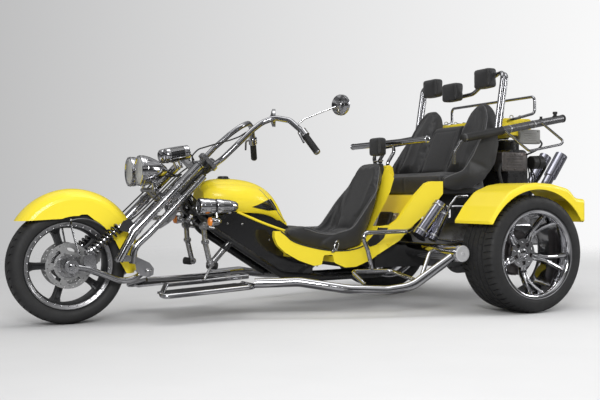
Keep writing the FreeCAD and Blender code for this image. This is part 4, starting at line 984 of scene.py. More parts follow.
# ------------------------------------------------------------------ lamps and instruments (turn with the fork)
BLUECHROME = material("trike_smoked_chrome", (0.42, 0.42, 0.47), 0.10, 1.0, var=0.10, var_scale=9, rvar=0.04, rscale=35,
                      bump=(("noise", 55, 0.05, 0.0006),))
for side, s in (("left", 1), ("right", -1)):
    c = P(-372, s * 100, 818)
    back = c + Vector((-1, 0, 0))
    a = Acc()
    a.rev(c, back, [(7, 73), (1, 77), (0, 80), (2, 83.2), (8, 84), (14, 83.6), (16.5, 81.6), (19, 81.6), (21, 83.4), (30, 83.6), (34, 81.8), (36, 82.6),
                    (62, 76), (90, 64), (112, 54), (136, 39), (150, 27.5), (158, 21), (164, 12), (166, 0)], 72)
    a.rev(c + Vector((-.084, 0, -.066)), c + Vector((-.090, 0, -.100)), [(0, 10), (26, 10), (30, 14), (38, 14), (38, 0)], 24)
    a.hexhead(c + Vector((-.166, 0, 0)), (-1, 0, 0), 5, 5)
    for k in range(3):
        an = 2 * math.pi * k / 3 + .5
        a.dome(c + Vector((-.012, math.cos(an) * .0838, math.sin(an) * .0838)), (0, math.cos(an), math.sin(an)), 3.4, 2.4, 10)
    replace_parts(a.done("headlamp_shell_" + side, CHROME, "steering", 30), "headlamps")
    a = Acc()
    prof = [(6, 73.5)] + [(6 + 62 * (1 - (r / 73.5) ** 2), r) for r in (70, 60, 50, 40, 30, 22, 15)] + [(69, 15), (72, 0)]
    a.rev(c, back, prof, 48)
    a.done("headlamp_reflector_" + side, BLUECHROME, "steering", 40)
    a = Acc()
    a.rev(c + Vector((-.020, 0, 0)), c, [(-30, 8), (-6, 8), (0, 12), (4, 10), (6, 0)], 24)
    a.box(c + Vector((-.010, 0, 0)), (3, 142, 7), None, 1.0, 1)
    a.done("headlamp_bulb_" + side, CHROME, "steering", 40)
    a = Acc()
    lens = [(6.5, 75.5)] + [(5 - 13 * (1 - (r / 75.5) ** 2), r) for r in (74, 66, 55, 44, 33, 22, 11)] + [(-8.2, 0)]
    a.rev(c, back, lens, 56)
    a.done("headlamp_glass_" + side, LENS, "steering", 60)
    # instrument cup
    c = P(-532, s * 46, 900)
    d = Vector((-1, 0, 0.18)).normalized()
    e = c + d
    a = Acc()
    a.rev(c, e, [(0, 0), (1, 16), (4, 28), (10, 36), (18, 40), (26, 41), (36, 41), (38, 39.4)], 56)
    a.rev(c, e, [(118, 39.4), (120, 41), (128, 41), (129, 39.6), (132, 39.6), (133, 41), (146, 41), (149, 39.5), (150, 37), (148, 34.5), (142, 34)], 56)
    for k in range(6):
        an = 2 * math.pi * k / 6 + .3
        u = d.orthogonal().normalized(); w = d.cross(u)
        rr = u * math.cos(an) + w * math.sin(an)
        p0 = c + d * .040 + rr * .0398
        a.tube([p0, p0 + d * .076], 3.4, 8, smooth=0)
    a.rev(c + d * .090 + Vector((0, 0, -.030)), P(-640, s * 46, 838), [(0, 10), (30, 10), (40, 9), (52, 9)], 20)
    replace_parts(a.done("gauge_shell_" + side, CHROME, "steering", 30), "gauge_pods")
    a = Acc()
    a.rev(c, e, [(37, 10), (37, 38.6), (119, 38.6), (119, 10)], 48)
    a.done("gauge_body_" + side, BLACK_GLOSS_AND_SHADE, "steering", 30)
    a = Acc()
    a.rev(c, e, [(138, 0), (140, 34.6), (142, 34.6), (142, 0)], 48)
    a.done("gauge_face_" + side, BLACK_GLOSS_AND_SHADE, "steering", 30)
    a = Acc()
    u = Vector((0, 1, 0)); w = d.cross(u).normalized()
    o = c + d * .1424
    for k in range(31):
        an = math.radians(-135 + 270 * k / 30)
        rr = u * math.sin(an) + w * math.cos(an)
        r0 = .0245 if k % 5 == 0 else .0275
        a.tube([o + rr * r0, o + rr * .0315], 0.9 if k % 5 == 0 else 0.5, 5, smooth=0)
    rr = u * math.sin(-1.9) + w * math.cos(-1.9)
    a.tube([o + d * .001 - rr * .006, o + d * .001 + rr * .024], [1.6, 0.6], 6, smooth=0)
    a.rev(o, o + d, [(-1, 5), (1.6, 4.6), (2.2, 0)], 16)
    a.done("gauge_marks_" + side, WHITEFACE, "steering", 40)
    a = Acc()
    a.rev(c, e, [(147.0, 0), (147.0, 35.5), (148.0, 35.5), (148.2, 0)], 40)
    a.done("gauge_glass_" + side, GLASS, "steering", 40)

# lamp bracket, wiring looms behind the lamps, and the stem's hardware
a = Acc()
for s in (1, -1):
    a.tube([P(-536, s * 98, 815), P(-572, s * 84, 800), P(-606, s * 56, 790), P(-640, s * 34, 800)], 5.5, 10)
    a.tube([P(-682, s * 46, 925), P(-700, s * 42, 905), P(-716, s * 34, 880)], 4.5, 10)
a.done("lamp_looms", BLACK_PLASTIC_AND_SHADE, "steering", 50)
a = Acc()
for s in (1, -1):
    a.hexhead(P(-462, s * 128, 714), (0, s, 0), 9, 8)
    for x, z in ((-330.5, 498.5), (-492, 657)):
        a.rev(P(x, s * 218, z), P(x, s * 232, z), [(0, 8), (6, 8), (7, 5.5), (12, 5.5), (12.5, 3), (10, 3), (10, 0)], 20)
    a.hexhead(P(0, s * 174, 312), (0, s, 0), 13, 12)
    a.hexhead(P(-394, s * 212, 276), (0, s, 0), 12, 10)
    a.hexhead(P(-262, s * 164, 520), (0, s, 0), 9, 8)
    a.hexhead(P(-92, s * 164, 384), (0, s, 0), 9, 8)
    a.dome(P(-2, s * 128, 556), (0, s, 0), 7, 4, 14)
    a.tube([P(-4, s * 124.5, 554), P(-40, s * 125, 562), P(-86, s * 125, 560), P(-134, s * 125, 542), P(-178, s * 124.5, 514)], 2.6, 8)
    a.dome(P(-687.5, s * 196, 849.5), (-.713, 0, .701), 17, 12, 24)
    a.rev(P(-687.5, s * 196, 849.5), P(-690.3, s * 196, 852.3), [(0, 26.5), (7, 26.5), (9, 24), (9, 0)], 32)
for s in (1, -1):
    for t in (0, 1):
        a.dome(P(-818 + t * 12, s * 44, 893 - t * 2), (0.1, 0, 1), 6, 5, 12)
a.done("fork_hardware", CHROME, "steering", 40)

# front springs
for side, s in (("left", 1), ("right", -1)):
    A, B = P(-92, s * 150, 384), P(-262, s * 150, 520)
    d = (B - A).normalized(); L = (B - A).length * 1000
    a = Acc()
    a.helix(A + d * .022, A + d * ((L - 20) * .001), 27.5, 5.2, 9.0)
    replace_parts(a.done("front_spring_" + side, COILBLACK, "steering", 50), "front_shocks")
    a = Acc()
    a.rev(A, A + d, [(0, 10), (L - 24, 10)], 20)
    a.rev(A, A + d, [(4, 12), (6, 26), (10, 32.5), (18, 32.5), (20, 28), (20, 11)], 40)
    a.rev(A, A + d, [(L - 21, 12), (L - 21, 29), (L - 19, 32), (L - 14, 32), (L - 12, 27), (L - 9, 18), (L - 4, 12)], 40)
    a.rev(A, A + d, [(24, 12), (24, 17), (110, 17), (112, 12)], 24)
    for p in (A, B):
        a.rev(p + Vector((0, -.014, 0)), p + Vector((0, .014, 0)), [(0, 7), (0, 13.5), (1.5, 15), (26.5, 15), (28, 13.5), (28, 7)], 28, close=True)
    a.done("front_damper_" + side, CHROME, "steering", 35)

# callipers
for side, s in (("left", 1), ("right", -1)):
    a = Acc()
    for x, z, r in ((-102, 346, 17), (-126, 378, 17)):
        a.rev(P(x, s * 103, z), P(x, s * 120, z), [(0, r), (3, r), (4.5, r - 2.5), (4.5, r - 7), (3.5, r - 8), (3.5, 0)], 28)
    for x, z in ((-88, 326), (-148, 396)):
        a.hexhead(P(x, s * 103, z), (0, s, 0), 6, 6)
    a.rev(P(-140, s * 96, 402), P(-140, s * 110, 402), [(0, 7), (12, 7), (12, 0)], 16)
    a.done("caliper_caps_" + side, STEEL, "steering", 35)
    a = Acc()
    a.tube([P(-140, s * 104, 403), P(-168, s * 112, 430), P(-205, s * 140, 470), P(-250, s * 166, 520), P(-330, s * 170, 566), P(-450, s * 168, 676),
            P(-560, s * 160, 780), P(-640, s * 140, 836)], 4.2, 8)
    a.done("brake_hose_" + side, RUBBER_AND_SHADE, "steering", 50)

# grips, grip ends and switch pods
for side, s in (("left", 1), ("right", -1)):
    A = P(-1258, s * 376, 1007); B = P(-1290, s * 437, 927)
    d = (B - A).normalized(); L = (B - A).length * 1000 + 12
    prof = [(0, 16), (0, 20.6), (3, 20.6)]
    t = 4.0
    while t < L - 8:
        prof += [(t, 18.4), (t + 2.2, 18.4), (t + 2.6, 19.8), (t + 5.6, 19.8)]
        t += 6.0
    prof += [(L - 5, 20.2), (L - 1, 19.8), (L, 16), (L, 0)]
    a = Acc(); a.rev(A, B, prof, 32)
    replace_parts(a.done("grip_" + side, RUBBER_AND_SHADE, "steering", 35), "hand_grips")
    a = Acc()
    a.rev(A + d * ((L - 1) * .001), B + d, [(0, 16.5), (2, 17.5), (7, 17), (10, 12), (11, 0)], 28)
    for t in (-44, -26, -8):
        a.rev(A + d * (t * .001), A + d * (t * .001) + d, [(0, 26.2), (0.4, 26.9), (3.0, 26.9), (3.4, 26.2)], 36)
    a.done("grip_end_" + side, CHROME, "steering", 35)
    a = Acc()
    n = Vector((0.85, s * -0.25, 0.3)).normalized()
    for k, t in enumerate((-34, -18)):
        a.box(A + d * (t * .001) + Vector((-.55, s * -.75, .35)).normalized() * .0258, (9, 9, 6), None, 2.0, 2)
    a.done("switches_" + side, BLACK_PLASTIC_AND_SHADE, "steering", 40)

# mirrors: fluted backs and glass
for side, s in (("left", 1), ("right", -1)):
    n = Vector((math.cos(math.radians(24)), s * math.sin(math.radians(24)), 0))
    c = P(-1440, s * 452, 1185)
    u = Vector((0, 0, 1)); w = n.cross(u)
    a = Acc()
    a.rev(c + n * .005, c + n * .006, [(0, 58.4), (2.5, 58.6), (4.5, 57.6), (9.5, 47), (14, 30), (16.5, 20), (17, 20), (20, 16), (21.5, 0)], 56)
    a.rev(c - n * .0085, c - n * .0095, [(-4, 59), (0, 59), (1.6, 57.4), (1.6, 54), (0.6, 53)], 56)
    a.done("mirror_back_" + side, CHROME, "steering", 35)
    a = Acc()
    for k in range(9):
        an = 2 * math.pi * k / 9
        e1 = u * math.cos(an) + w * math.sin(an); e2 = n.cross(e1)
        slope = (e1 * 1.0 - n * 0.46).normalized()
        ring = []
        for i, (q, hw) in enumerate(((24, 3.2), (32, 6.0), (40, 8.2), (48, 8.6), (52.5, 6.0))):
            h = 17.3 + (q - 20) * -0.46 + (1.0 if q > 30 else 0)
            ring.append((q, hw, h))
        top = [c + n * (h * .001) + e1 * (q * .001) + e2 * (hw * .001) for q, hw, h in ring]
        bot = [c + n * (h * .001) + e1 * (q * .001) - e2 * (hw * .001) for q, hw, h in ring]
        vs = []
        for p, q in zip(top, bot):
            vs += [p, q, q - n * .004, p - n * .004]
        a.add(*bar_mesh([vs[i:i + 4] for i in range(0, len(vs), 4)]))
    a.done("mirror_flutes_" + side, BLACK_GLOSS_AND_SHADE, "steering", 35)
    a = Acc()
    a.rev(c - n * .0088, c - n * .0098, [(0, 54), (1.2, 54), (1.8, 53), (2.2, 30), (2.3, 0)], 48)
    a.done("mirror_glass_" + side, MIRROR, "steering", 35)

# ------------------------------------------------------------------ tank, panels and tub
def on_surface(names):
    vs, ps = [], []
    for n in names:
        o = NODES[n]; b = len(vs)
        vs += [o.matrix_world @ v.co for v in o.data.vertices]
        ps += [[b + i for i in p.vertices] for p in o.data.polygons]
    return BVHTree.FromPolygons(vs, ps)


tank_t = on_surface(["fuel_tank"])
fair_t = on_surface(["neck_fairing"])
tub_t = on_surface(["body_tub"])


def hug(tree, pts, step=0.01, lift=0.0):
    pts = [Vector(p) for p in pts]
    q = []
    for a_, b_ in zip(pts[:-1], pts[1:]):
        k = max(1, int((b_ - a_).length / step))
        q += [a_.lerp(b_, i / k) for i in range(k)]
    q.append(pts[-1])
    out = []
    for p in q:
        h = tree.find_nearest(p, 0.08)
        if h[0] is not None:
            out.append(h[0] + h[1] * lift)
    for _ in range(2):
        out = [out[0]] + [(out[i - 1] + out[i] * 2 + out[i + 1]) / 4 for i in range(1, len(out) - 1)] + [out[-1]]
    return out


def patch(name, tree, corners, mat, body, nu=16, nv=12, lift=0.0012, thick=0.0):
    """A four-cornered skin laid on a surface (corner order round the edge)."""
    c = [Vector(p) for p in corners]
    vs = []
    for i in range(nu + 1):
        for j in range(nv + 1):
            u, v = i / nu, j / nv
            p = c[0] * (1 - u) * (1 - v) + c[1] * u * (1 - v) + c[2] * u * v + c[3] * (1 - u) * v
            h = tree.find_nearest(p, 0.12)
            q = h[0] + h[1] * lift if h[0] is not None else p
            vs.append(q)
    fs = [(i * (nv + 1) + j, i * (nv + 1) + j + 1, (i + 1) * (nv + 1) + j + 1, (i + 1) * (nv + 1) + j) for i in range(nu) for j in range(nv)]
    a = Acc(); a.add(vs, fs)
    return a.done(name, mat, body, 40)


for side, s in (("left", 1), ("right", -1)):
    patch("tank_recess_" + side, tank_t, [P(-1016, s * 165, 612), P(-1168, s * 135, 668), P(-1206, s * 112, 592), P(-1130, s * 132, 590)], BLACK_GLOSS_AND_SHADE, "chassis")
    a = Acc()
    a.tube(hug(tank_t, [P(-1085, s * 120, 720), P(-1118, s * 135, 672), P(-1168, s * 126, 625), P(-1206, s * 104, 580), P(-1270, s * 62, 520)], lift=.0006), 2.0, 8, smooth=0)
    a.done("tank_trim_" + side, GREYBOX, "chassis", 60)
    a = Acc()
    fl = [P(-938, s * 136, 586), P(-1018, s * 136, 553), P(-1093, s * 136, 522), P(-1175, s * 136, 492), P(-1250, s * 136, 467), P(-1276, s * 135, 458)]
    a.tube(fl, [7, 7.5, 7.5, 7.5, 7, 6], 10)
    a.done("tank_flange_" + side, YELLOW, "chassis", 50)
    a = Acc()
    for x, z in ((-970, 516), (-1139, 420), (-1245, 350), (-880, 520)):
        h = fair_t.find_nearest(P(x, s * 140, z), .05)
        if h[0] is not None and abs(h[1].y) > .9:
            a.dome(h[0], (0, s, 0), 6, 3.4, 14)
    a.done("panel_screws_" + side, CHROME, "chassis", 50)
a = Acc()
h = tank_t.ray_cast(P(-905, 0, 900), Vector((0, 0, -1)))
cap = h[0] if h[0] is not None else P(-905, 0, 777)
a.rev(cap - Vector((0, 0, .006)), cap + Vector((0, 0, .02)), [(0, 38), (7.5, 38), (9, 36), (9, 31), (11, 30), (17, 30), (20, 27), (21.5, 20), (22, 0)], 48)
for k in range(16):
    an = 2 * math.pi * k / 16
    a.box(cap + Vector((math.cos(an) * .0302, math.sin(an) * .0302, .008)), (3, 5, 7), Matrix.Rotation(an, 3, "Z"), 1, 1)
a.done("tank_cap", BLACKFRAME, "chassis", 35)

# edge trim and latches on the tub
for side, s in (("left", 1), ("right", -1)):
    a = Acc()
    a.tube([P(-1150, s * 269, 474), P(-1185, s * 269, 448), P(-1218, s * 269, 421), P(-1275, s * 269, 397), P(-1367, s * 269, 373), P(-1440, s * 269, 359),
            P(-1520, s * 269, 352), P(-1600, s * 269, 354), P(-1690, s * 269, 377), P(-1770, s * 269, 446)], 4.0, 8)
    a.done("tub_trim_" + side, RUBBER_AND_SHADE, "chassis", 60)
    a = Acc()
    a.tube([P(-1474, s * 271, 344), P(-1486, s * 276, 366), P(-1498, s * 274, 398), P(-1514, s * 266, 410), P(-1526, s * 262, 398), P(-1518, s * 268, 376),
            P(-1506, s * 272, 356)], 4.2, 10)
    a.rev(P(-1484, s * 266, 352), P(-1484, s * 282, 352), [(0, 10), (10, 10), (13, 7), (14, 0)], 20)
    a.hexhead(P(-1506, s * 268, 356), (0, s, 0), 6, 8)
    a.done("seat_latch_" + side, CHROME, "chassis", 45)

# ------------------------------------------------------------------ riding lamps and indicators
for side, s in (("left", 1), ("right", -1)):
    A, B = P(-652, s * 286, 622), P(-884, s * 286, 620)
    a = Acc()
    a.rev(A, B, [(6, 37.6), (0, 39.9), (1, 43.9), (6, 45.6), (22, 45.6), (24, 43.3), (30, 43.3), (31, 45.1), (52, 44.5), (53, 41.6), (58, 41.6), (59, 43.3), (84, 41.6)], 48)
    a.rev(A, B, [(98, 40.5), (100, 41.6), (130, 39.9), (131, 37.6), (135, 37.6), (136, 39.2), (172, 35.9), (173, 33.6), (177, 33.6), (178, 34.8), (212, 27.4),
                 (224, 18.2), (230, 0)], 48)
    a.rev(P(-830, s * 286, 596), P(-850, s * 118, 548), [(0, 10), (160, 10)], 20)
    a.rev(P(-830, s * 286, 606), P(-830, s * 286, 580), [(0, 14), (12, 16), (24, 14), (28, 8)], 24)
    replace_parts(a.done("riding_lamp_" + side, CHROME, "chassis", 32), "aux_lamps")
    a = Acc()
    a.rev(A, B, [(83, 22.8), (83, 38.8), (99, 38.8), (99, 22.8)], 40)
    a.done("riding_lamp_band_" + side, BLACK_GLOSS_AND_SHADE, "chassis", 32)
    a = Acc()
    a.rev(A, B, [(6, 38.2), (1, 37.6), (-1.5, 27.4), (-3, 13.7), (-3.4, 0)], 40)
    a.done("riding_lamp_glass_" + side, GLASS, "chassis", 40)
    a = Acc()
    a.rev(A, B, [(8, 37.6), (16, 29.6), (26, 16), (30, 6.8), (31, 0)], 36)
    a.done("riding_lamp_bowl_" + side, CHROME, "chassis", 40)
    A, B = P(-700, s * 300, 538), P(-780, s * 300, 538)
    a = Acc()
    a.rev(A, B, [(18, 20), (16, 24), (18, 26.5), (26, 27), (30, 25), (52, 22), (66, 16), (76, 9), (80, 0)], 40)
    a.rev(P(-750, s * 300, 556), P(-750, s * 292, 600), [(0, 8), (30, 8), (34, 11), (42, 11)], 20)
    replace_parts(a.done("indicator_body_" + side, CHROME, "chassis", 32), "signal_lamps")
    a = Acc()
    a.rev(A, B, [(18, 24.5), (8, 24), (3, 20), (0, 12), (-0.5, 0)], 36)
    a.done("indicator_lens_" + side, AMBER, "chassis", 50)
    # rear lamp in its bright frame
    a = Acc()
    a.box(P(-2806, s * 770, 575), (14, 160, 60), None, 5, 3)
    a.done("tail_frame_" + side, CHROME, "chassis", 35)
    a = Acc()
    a.box(P(-2815, s * 752, 575), (14, 104, 46), None, 5, 3)
    a.done("tail_lens_" + side, REDLENS, "chassis", 35)
    a = Acc()
    a.box(P(-2815, s * 827, 575), (14, 38, 46), None, 5, 3)
    a.done("tail_amber_" + side, AMBER, "chassis", 35)

# ------------------------------------------------------------------ pedals
for side, s in (("left", 1), ("right", -1)):
    a = Acc()
    for x, z, r in ((-730, 510, 23), (-737, 421, 17.5)):
        a.rev(P(x, s * 131, z), P(x, s * 171, z), [(0, 8), (0, r - 2), (2, r), (38, r), (40, r - 2), (40, 8)], 32, close=True)
        a.hexhead(P(x, s * 171, z), (0, s, 0), 8, 6)
    q0, q1 = (P(-766, s * 132, 296), P(-766, s * 172, 296))
    a.rev(q0, q1, [(0, 8), (0, 17), (2, 19), (38, 19), (40, 17), (40, 8)], 32, close=True)
    a.hexhead(q1, (0, s, 0), 8, 6)
    if s > 0:
        a.tube([P(-764, 160, 284), P(-752, 168, 262), P(-730, 176, 232), P(-722, 178, 214)], [8, 8, 7, 7], 12)
    a.done("pedal_joints_" + side, STEEL, "chassis", 35)
    a = Acc()
    A, B = (P(-747, 152, 292), P(-807, 152, 284)) if s > 0 else (P(-713, -152, 300), P(-765, -152, 292))
    L = (B - A).length * 1000
    prof = [(0, 0), (0, 16), (3, 20)]
    t = 3.0
    while t < L - 8:
        prof += [(t + 1, 21), (t + 4, 21), (t + 5, 19.2), (t + 6, 19.2)]
        t += 6.0
    prof += [(L - 1, 19), (L, 16), (L, 0)]
    a.rev(A, B, prof, 32)
    a.done("pedal_pad_" + side, RUBBER_AND_SHADE, "chassis", 35)
A, B = P(-776, 160, 306), P(-862, 156, 396)
d = (B - A).normalized(); L = (B - A).length * 1000
a = Acc()
prof = [(0, 9), (4, 18)]
t = 6.0
while t < L - 34:
    prof += [(t, 19.5), (t + 5, 19.5), (t + 6, 16.5), (t + 9, 16.5)]
    t += 10.0
prof += [(L - 30, 15), (L - 26, 12)]
a.rev(A, B, prof, 32)
a.done("pedal_spring_case", STEEL, "chassis", 35)
a = Acc()
a.rev(A, B, [(L - 30, 10), (L - 30, 20), (L - 27, 22), (L + 22, 22), (L + 26, 18), (L + 30, 0)], 32)
a.done("pedal_cylinder", BLACK_GLOSS_AND_SHADE, "chassis", 35)

# ------------------------------------------------------------------ the crowded neck behind the fork
a = Acc()
for s in (1, -1):
    a.tube([P(-648, s * 52, 700), P(-652, s * 56, 660), P(-690, s * 60, 606), P(-752, s * 78, 540)], 7, 10)
    a.tube([P(-668, s * 44, 712), P(-690, s * 46, 660), P(-716, s * 50, 620), P(-790, s * 60, 580)], 6, 10)
    a.tube([P(-700, s * 62, 560), P(-728, s * 74, 590), P(-760, s * 70, 620)], 5, 8)
    a.box(P(-716, s * 44, 588), (66, 26, 62), Matrix.Rotation(math.radians(-38), 3, "Y"), 5, 2)
    a.box(P(-776, s * 74, 590), (60, 60, 46), Matrix.Rotation(math.radians(-38), 3, "Y"), 6, 2)
a.done("neck_wiring", BLACK_PLASTIC_AND_SHADE, "chassis", 35)
a = Acc()
for s in (1, -1):
    for x, z in ((-676, 618), (-700, 660), (-752, 624), (-806, 570), (-716, 548)):
        a.rev(P(x, s * 26, z), P(x, s * 33, z), [(0, 0), (0, 12), (5, 12), (7, 10), (7, 0)], 20)
        a.hexhead(P(x, s * 33, z), (0, s, 0), 8, 7)
    for x, z in ((-702, 606), (-728, 572)):
        a.hexhead(P(x, s * 57, z), (0, s, 0), 7, 6)
    a.rev(P(-664, s * 66, 560), P(-700, s * 74, 534), [(0, 0), (0, 20), (4, 26), (20, 28), (26, 24), (30, 12), (36, 0)], 32)
    a.tube([P(-700, s * 70, 548), P(-724, s * 50, 562)], 7, 10)
a.done("neck_bolts", CHROME, "chassis", 35)
a = Acc()
for s in (1, -1):
    y0, y1 = sorted((s * 176, s * 186))
    a.outline([(-418, 500), (-560, 640), (-580, 612), (-548, 556), (-516, 530), (-470, 503)], y0, y1, 2.0)
    a.rev(P(-505, s * 184, 556), P(-505, s * 194, 556), [(0, 9), (0, 21), (8, 21), (10, 19), (10, 9)], 28, close=True)
    a.hexhead(P(-556, s * 186, 606), (0, s, 0), 7, 6)
    a.hexhead(P(-452, s * 186, 516), (0, s, 0), 7, 6)
a.rev(P(-512, -176, 556), P(-512, 176, 556), [(0, 15), (352, 15)], 28)
a.done("yoke_brace", STEEL, "steering", 35)

# boards: dark ribbed mats between bright bars
for side, s in (("left", 1), ("right", -1)):
    a = Acc()
    for k in range(8):
        a.box(P(-685, s * (196 + k * 18), 175), (440, 7, 5), Matrix.Rotation(math.radians(2.73), 3, "Y"), 2, 2)
    a.done("board_ribs_" + side, RUBBER_AND_SHADE, "chassis", 35)
    a = Acc()
    for x in (-480, -590, -780, -890):
        for y in (188, 328):
            a.dome(P(x, s * y, 162.6 - (x + 448) * 23 / 482), (0.05, 0, 1), 6, 3.5, 12)
    a.done("board_bolts_" + side, CHROME, "chassis", 35)

# bright discs on the ends of the cross tube
a = Acc()
for s in (1, -1):
    a.rev(P(-2040, s * 768, 345), P(-2040, s * 775, 345), [(0, 40), (0, 46.5), (2, 46.5), (4.5, 43), (5, 38), (3.6, 34), (3.6, 12), (6, 10), (6.8, 0)], 56)
a.done("cross_tube_discs", ENDDISC, "chassis", 30)

# passenger footwell: black sheets as painted shade in the dark openings at its sides, the middle mat and two tread
# plates
for side, s in (("left", 1), ("right", -1)):
    def skin(x):
        return max(268.0, 268.0 - 0.478 * (x + 1800.0))
    # painted shade: a thin black slab on the skin stands in for the dark inside of each opening
    a = Acc()
    for pts in ([(-1800, 482), (-1792, 484), (-1782, 452), (-1738, 410), (-1716, 386), (-1735, 368), (-1777, 379), (-1800, 394)],
                [(-1848, 480), (-1800, 482), (-1800, 394), (-1824, 418), (-1834, 443)]):
        n = len(pts)
        vs = [P(x, s * (skin(x) + 1.4), z) for x, z in pts] + [P(x, s * (skin(x) - 2.0), z) for x, z in pts]
        a.add(vs, [tuple(range(n)), tuple(range(2 * n - 1, n - 1, -1))] +
              [(i, (i + 1) % n, n + (i + 1) % n, n + i) for i in range(n)])
    a.done("footwell_opening_shade_" + side, BLACK_PLASTIC_AND_SHADE, "chassis", 30)
    lean = Matrix.Rotation(math.radians(-20), 3, "Y")
    a = Acc()
    a.box(P(-2010, s * 129, 512), (8, 118, 108), lean, 3, 2)
    for j in range(5):
        for k in range(4):
            d = 1 if (j + k) % 2 else -1
            m = lean @ Matrix.Rotation(math.radians(45 * d), 3, "X")
            a.box(P(-2010, s * 129, 512) + lean @ Vector((0.005, (j - 2) * 0.022 * s, (k - 1.5) * 0.025)), (3, 15, 4), m, 1, 1)
    a.done("footwell_plate_" + side, TREAD_PLATE, "chassis", 35)
a = Acc()
a.box(P(-2006, 0, 514), (34, 136, 114), Matrix.Rotation(math.radians(-20), 3, "Y"), 14, 4)
for k in range(5):
    a.box(P(-2006, 0, 514) + Matrix.Rotation(math.radians(-20), 3, "Y") @ Vector((0.018, 0, (k - 2) * 0.018)), (4, 96, 7),
          Matrix.Rotation(math.radians(-20), 3, "Y"), 2, 2)
a.done("footwell_mat", RUBBER_AND_SHADE, "chassis", 35)

# chrome link beside the seat base
for side, s in (("left", 1), ("right", -1)):
    a = Acc()
    a.tube([P(-2312, s * 450, 668), P(-2236, s * 456, 664), P(-2206, s * 460, 640), P(-2170, s * 462, 598), P(-2090, s * 464, 462), P(-2062, s * 464, 422),
            P(-2100, s * 464, 408), P(-2200, s * 464, 396), P(-2320, s * 464, 384)], 10, 14, smooth=5)
    a.done("side_link_" + side, CHROME, "chassis", 45)
    for q, (A, B, R) in enumerate(((P(-1960, s * 452, 430), P(-2120, s * 452, 620), 44), (P(-2020, s * 500, 410), P(-2118, s * 500, 574), 26))):
        d = (B - A).normalized(); L = (B - A).length * 1000
        a = Acc()
        u = d.cross(Vector((0, s, 0))).normalized(); w = Vector((0, s, 0))
        for t in (0.12, 0.88):
            a.rev(A + d * (L * t * .001), A + d * (L * t * .001) + d, [(0, R), (0, R + 2), (2, R + 3), (8, R + 3), (10, R + 2), (10, R)], 40)
        a.done("cover_bands_%s_%d" % (side, q), STEEL, "chassis", 35)
        # painted shade: thin black-gloss strips laid on the cover stand in for the dark slot openings
        a = Acc()
        for i in range(6):
            for j in (-1, 0, 1):
                an = j * 0.42
                e = w * math.cos(an) + u * math.sin(an)
                p = A + d * ((0.24 + 0.52 * i / 5) * L * .001) + e * ((R + .2) * .001)
                m = Matrix((d, e.cross(d), e)).transposed()
                a.box(p, (L * 0.06, R * 0.16, 1.6), m, 0.7, 1)
        a.done("cover_slots_%s_%d" % (side, q), BLACK_GLOSS_AND_SHADE, "chassis", 35)

# ------------------------------------------------------------------ bench surrounds, tubes and deck
for side, s in (("left", 1), ("right", -1)):
    A = P(-2284, s * 478, 1019.8); B = P(-2560, s * 478, 1069.6)
    d = (B - A).normalized(); L = (B - A).length * 1000
    a = Acc()
    prof = [(0, 24.3), (1, 25.2), (4, 25.8)]
    t = 8.0
    while t < L - 10:
        prof += [(t, 25.6), (t + 4, 26.0), (t + 8, 25.6)]
        t += 9.0
    prof += [(L - 4, 25.8), (L - 1, 25.2), (L, 24.3)]
    a.rev(A, B, prof, 36)
    a.done("arm_pad_" + side, BLACK_PLASTIC_AND_SHADE, "chassis", 35)
    a = Acc()
    e = P(-2262, s * 478, 1016)
    a.rev(e, e - d, [(-6, 24.6), (-2, 25.4), (3, 25.4), (8, 21), (11, 12), (12, 0)], 32)
    e2 = P(-3050, s * 478, 1160)
    a.rev(e2, e2 + d, [(-14, 24.6), (-12, 25.4), (0, 25.4), (4, 22), (6, 12), (6.5, 0)], 32)
    for x in (-2868, -2983):
        z = 1016 + (2262 + x) * -0.1827
        a.rev(P(x, s * 478, z + 20), P(x, s * 478, z + 60), [(0, 16), (6, 16), (8, 11), (18, 11), (19, 15), (30, 15), (33, 12), (34, 0)] if x < -2900 else
              [(0, 12), (6, 12), (8, 8), (14, 8), (15, 10), (19, 8), (20, 0)], 24)
    a.done("tube_ends_" + side, RUBBER_AND_SHADE, "chassis", 35)
    a = Acc()
    for x in (-2610, -2800):
        z = 1016 + (2262 + x) * -0.1827
        a.rev(P(x, s * 478, z), P(x - 10, s * 478, z + 1.83), [(0, 24), (0, 24.9), (1, 25.3), (8, 25.3), (9, 24.9), (9, 24)], 32)
    a.done("tube_clamps_" + side, STEEL, "chassis", 35)
    a = Acc()
    a.rev(P(-2030, s * 440, 1006), P(-2030, s * 450, 1006), [(0, 20), (0, 21.5), (6, 21.5), (10, 18), (12, 10), (12.4, 0)], 32)
    a.done("grab_bar_end_" + side, CHROME, "chassis", 35)
# posts of the driver's headrest
a = Acc()
for s in (1, -1):
    a.tube([P(-1958, s * 36, 876), P(-1958, s * 36, 905), P(-1957, s * 36, 930)], 8, 14)
    a.rev(P(-1958, s * 36, 888), P(-1958, s * 36, 897), [(0, 8), (0, 13), (2, 14), (8, 14), (9, 12), (9, 8)], 24, close=True)
a.done("headrest_posts", CHROME, "chassis", 40)
# tie-down pieces and strips on the deck
a = Acc()
for s in (1, -1):
    for x in (-2700, -2780, -2850):
        a.box(P(x, s * 300, 1164), (34, 14, 8), None, 2.5, 2)
        a.tube([P(x - 12, s * 300, 1166), P(x - 12, s * 300, 1180), P(x, s * 300, 1186), P(x + 12, s * 300, 1180), P(x + 12, s * 300, 1166)], 3, 8)
a.done("deck_ties", STEEL, "chassis", 40)
a = Acc()
for k in range(9):
    a.box(P(-2774, -280 + k * 70, 1162), (196, 12, 4), None, 1.8, 2)
a.done("deck_strips", RUBBER_AND_SHADE, "chassis", 40)

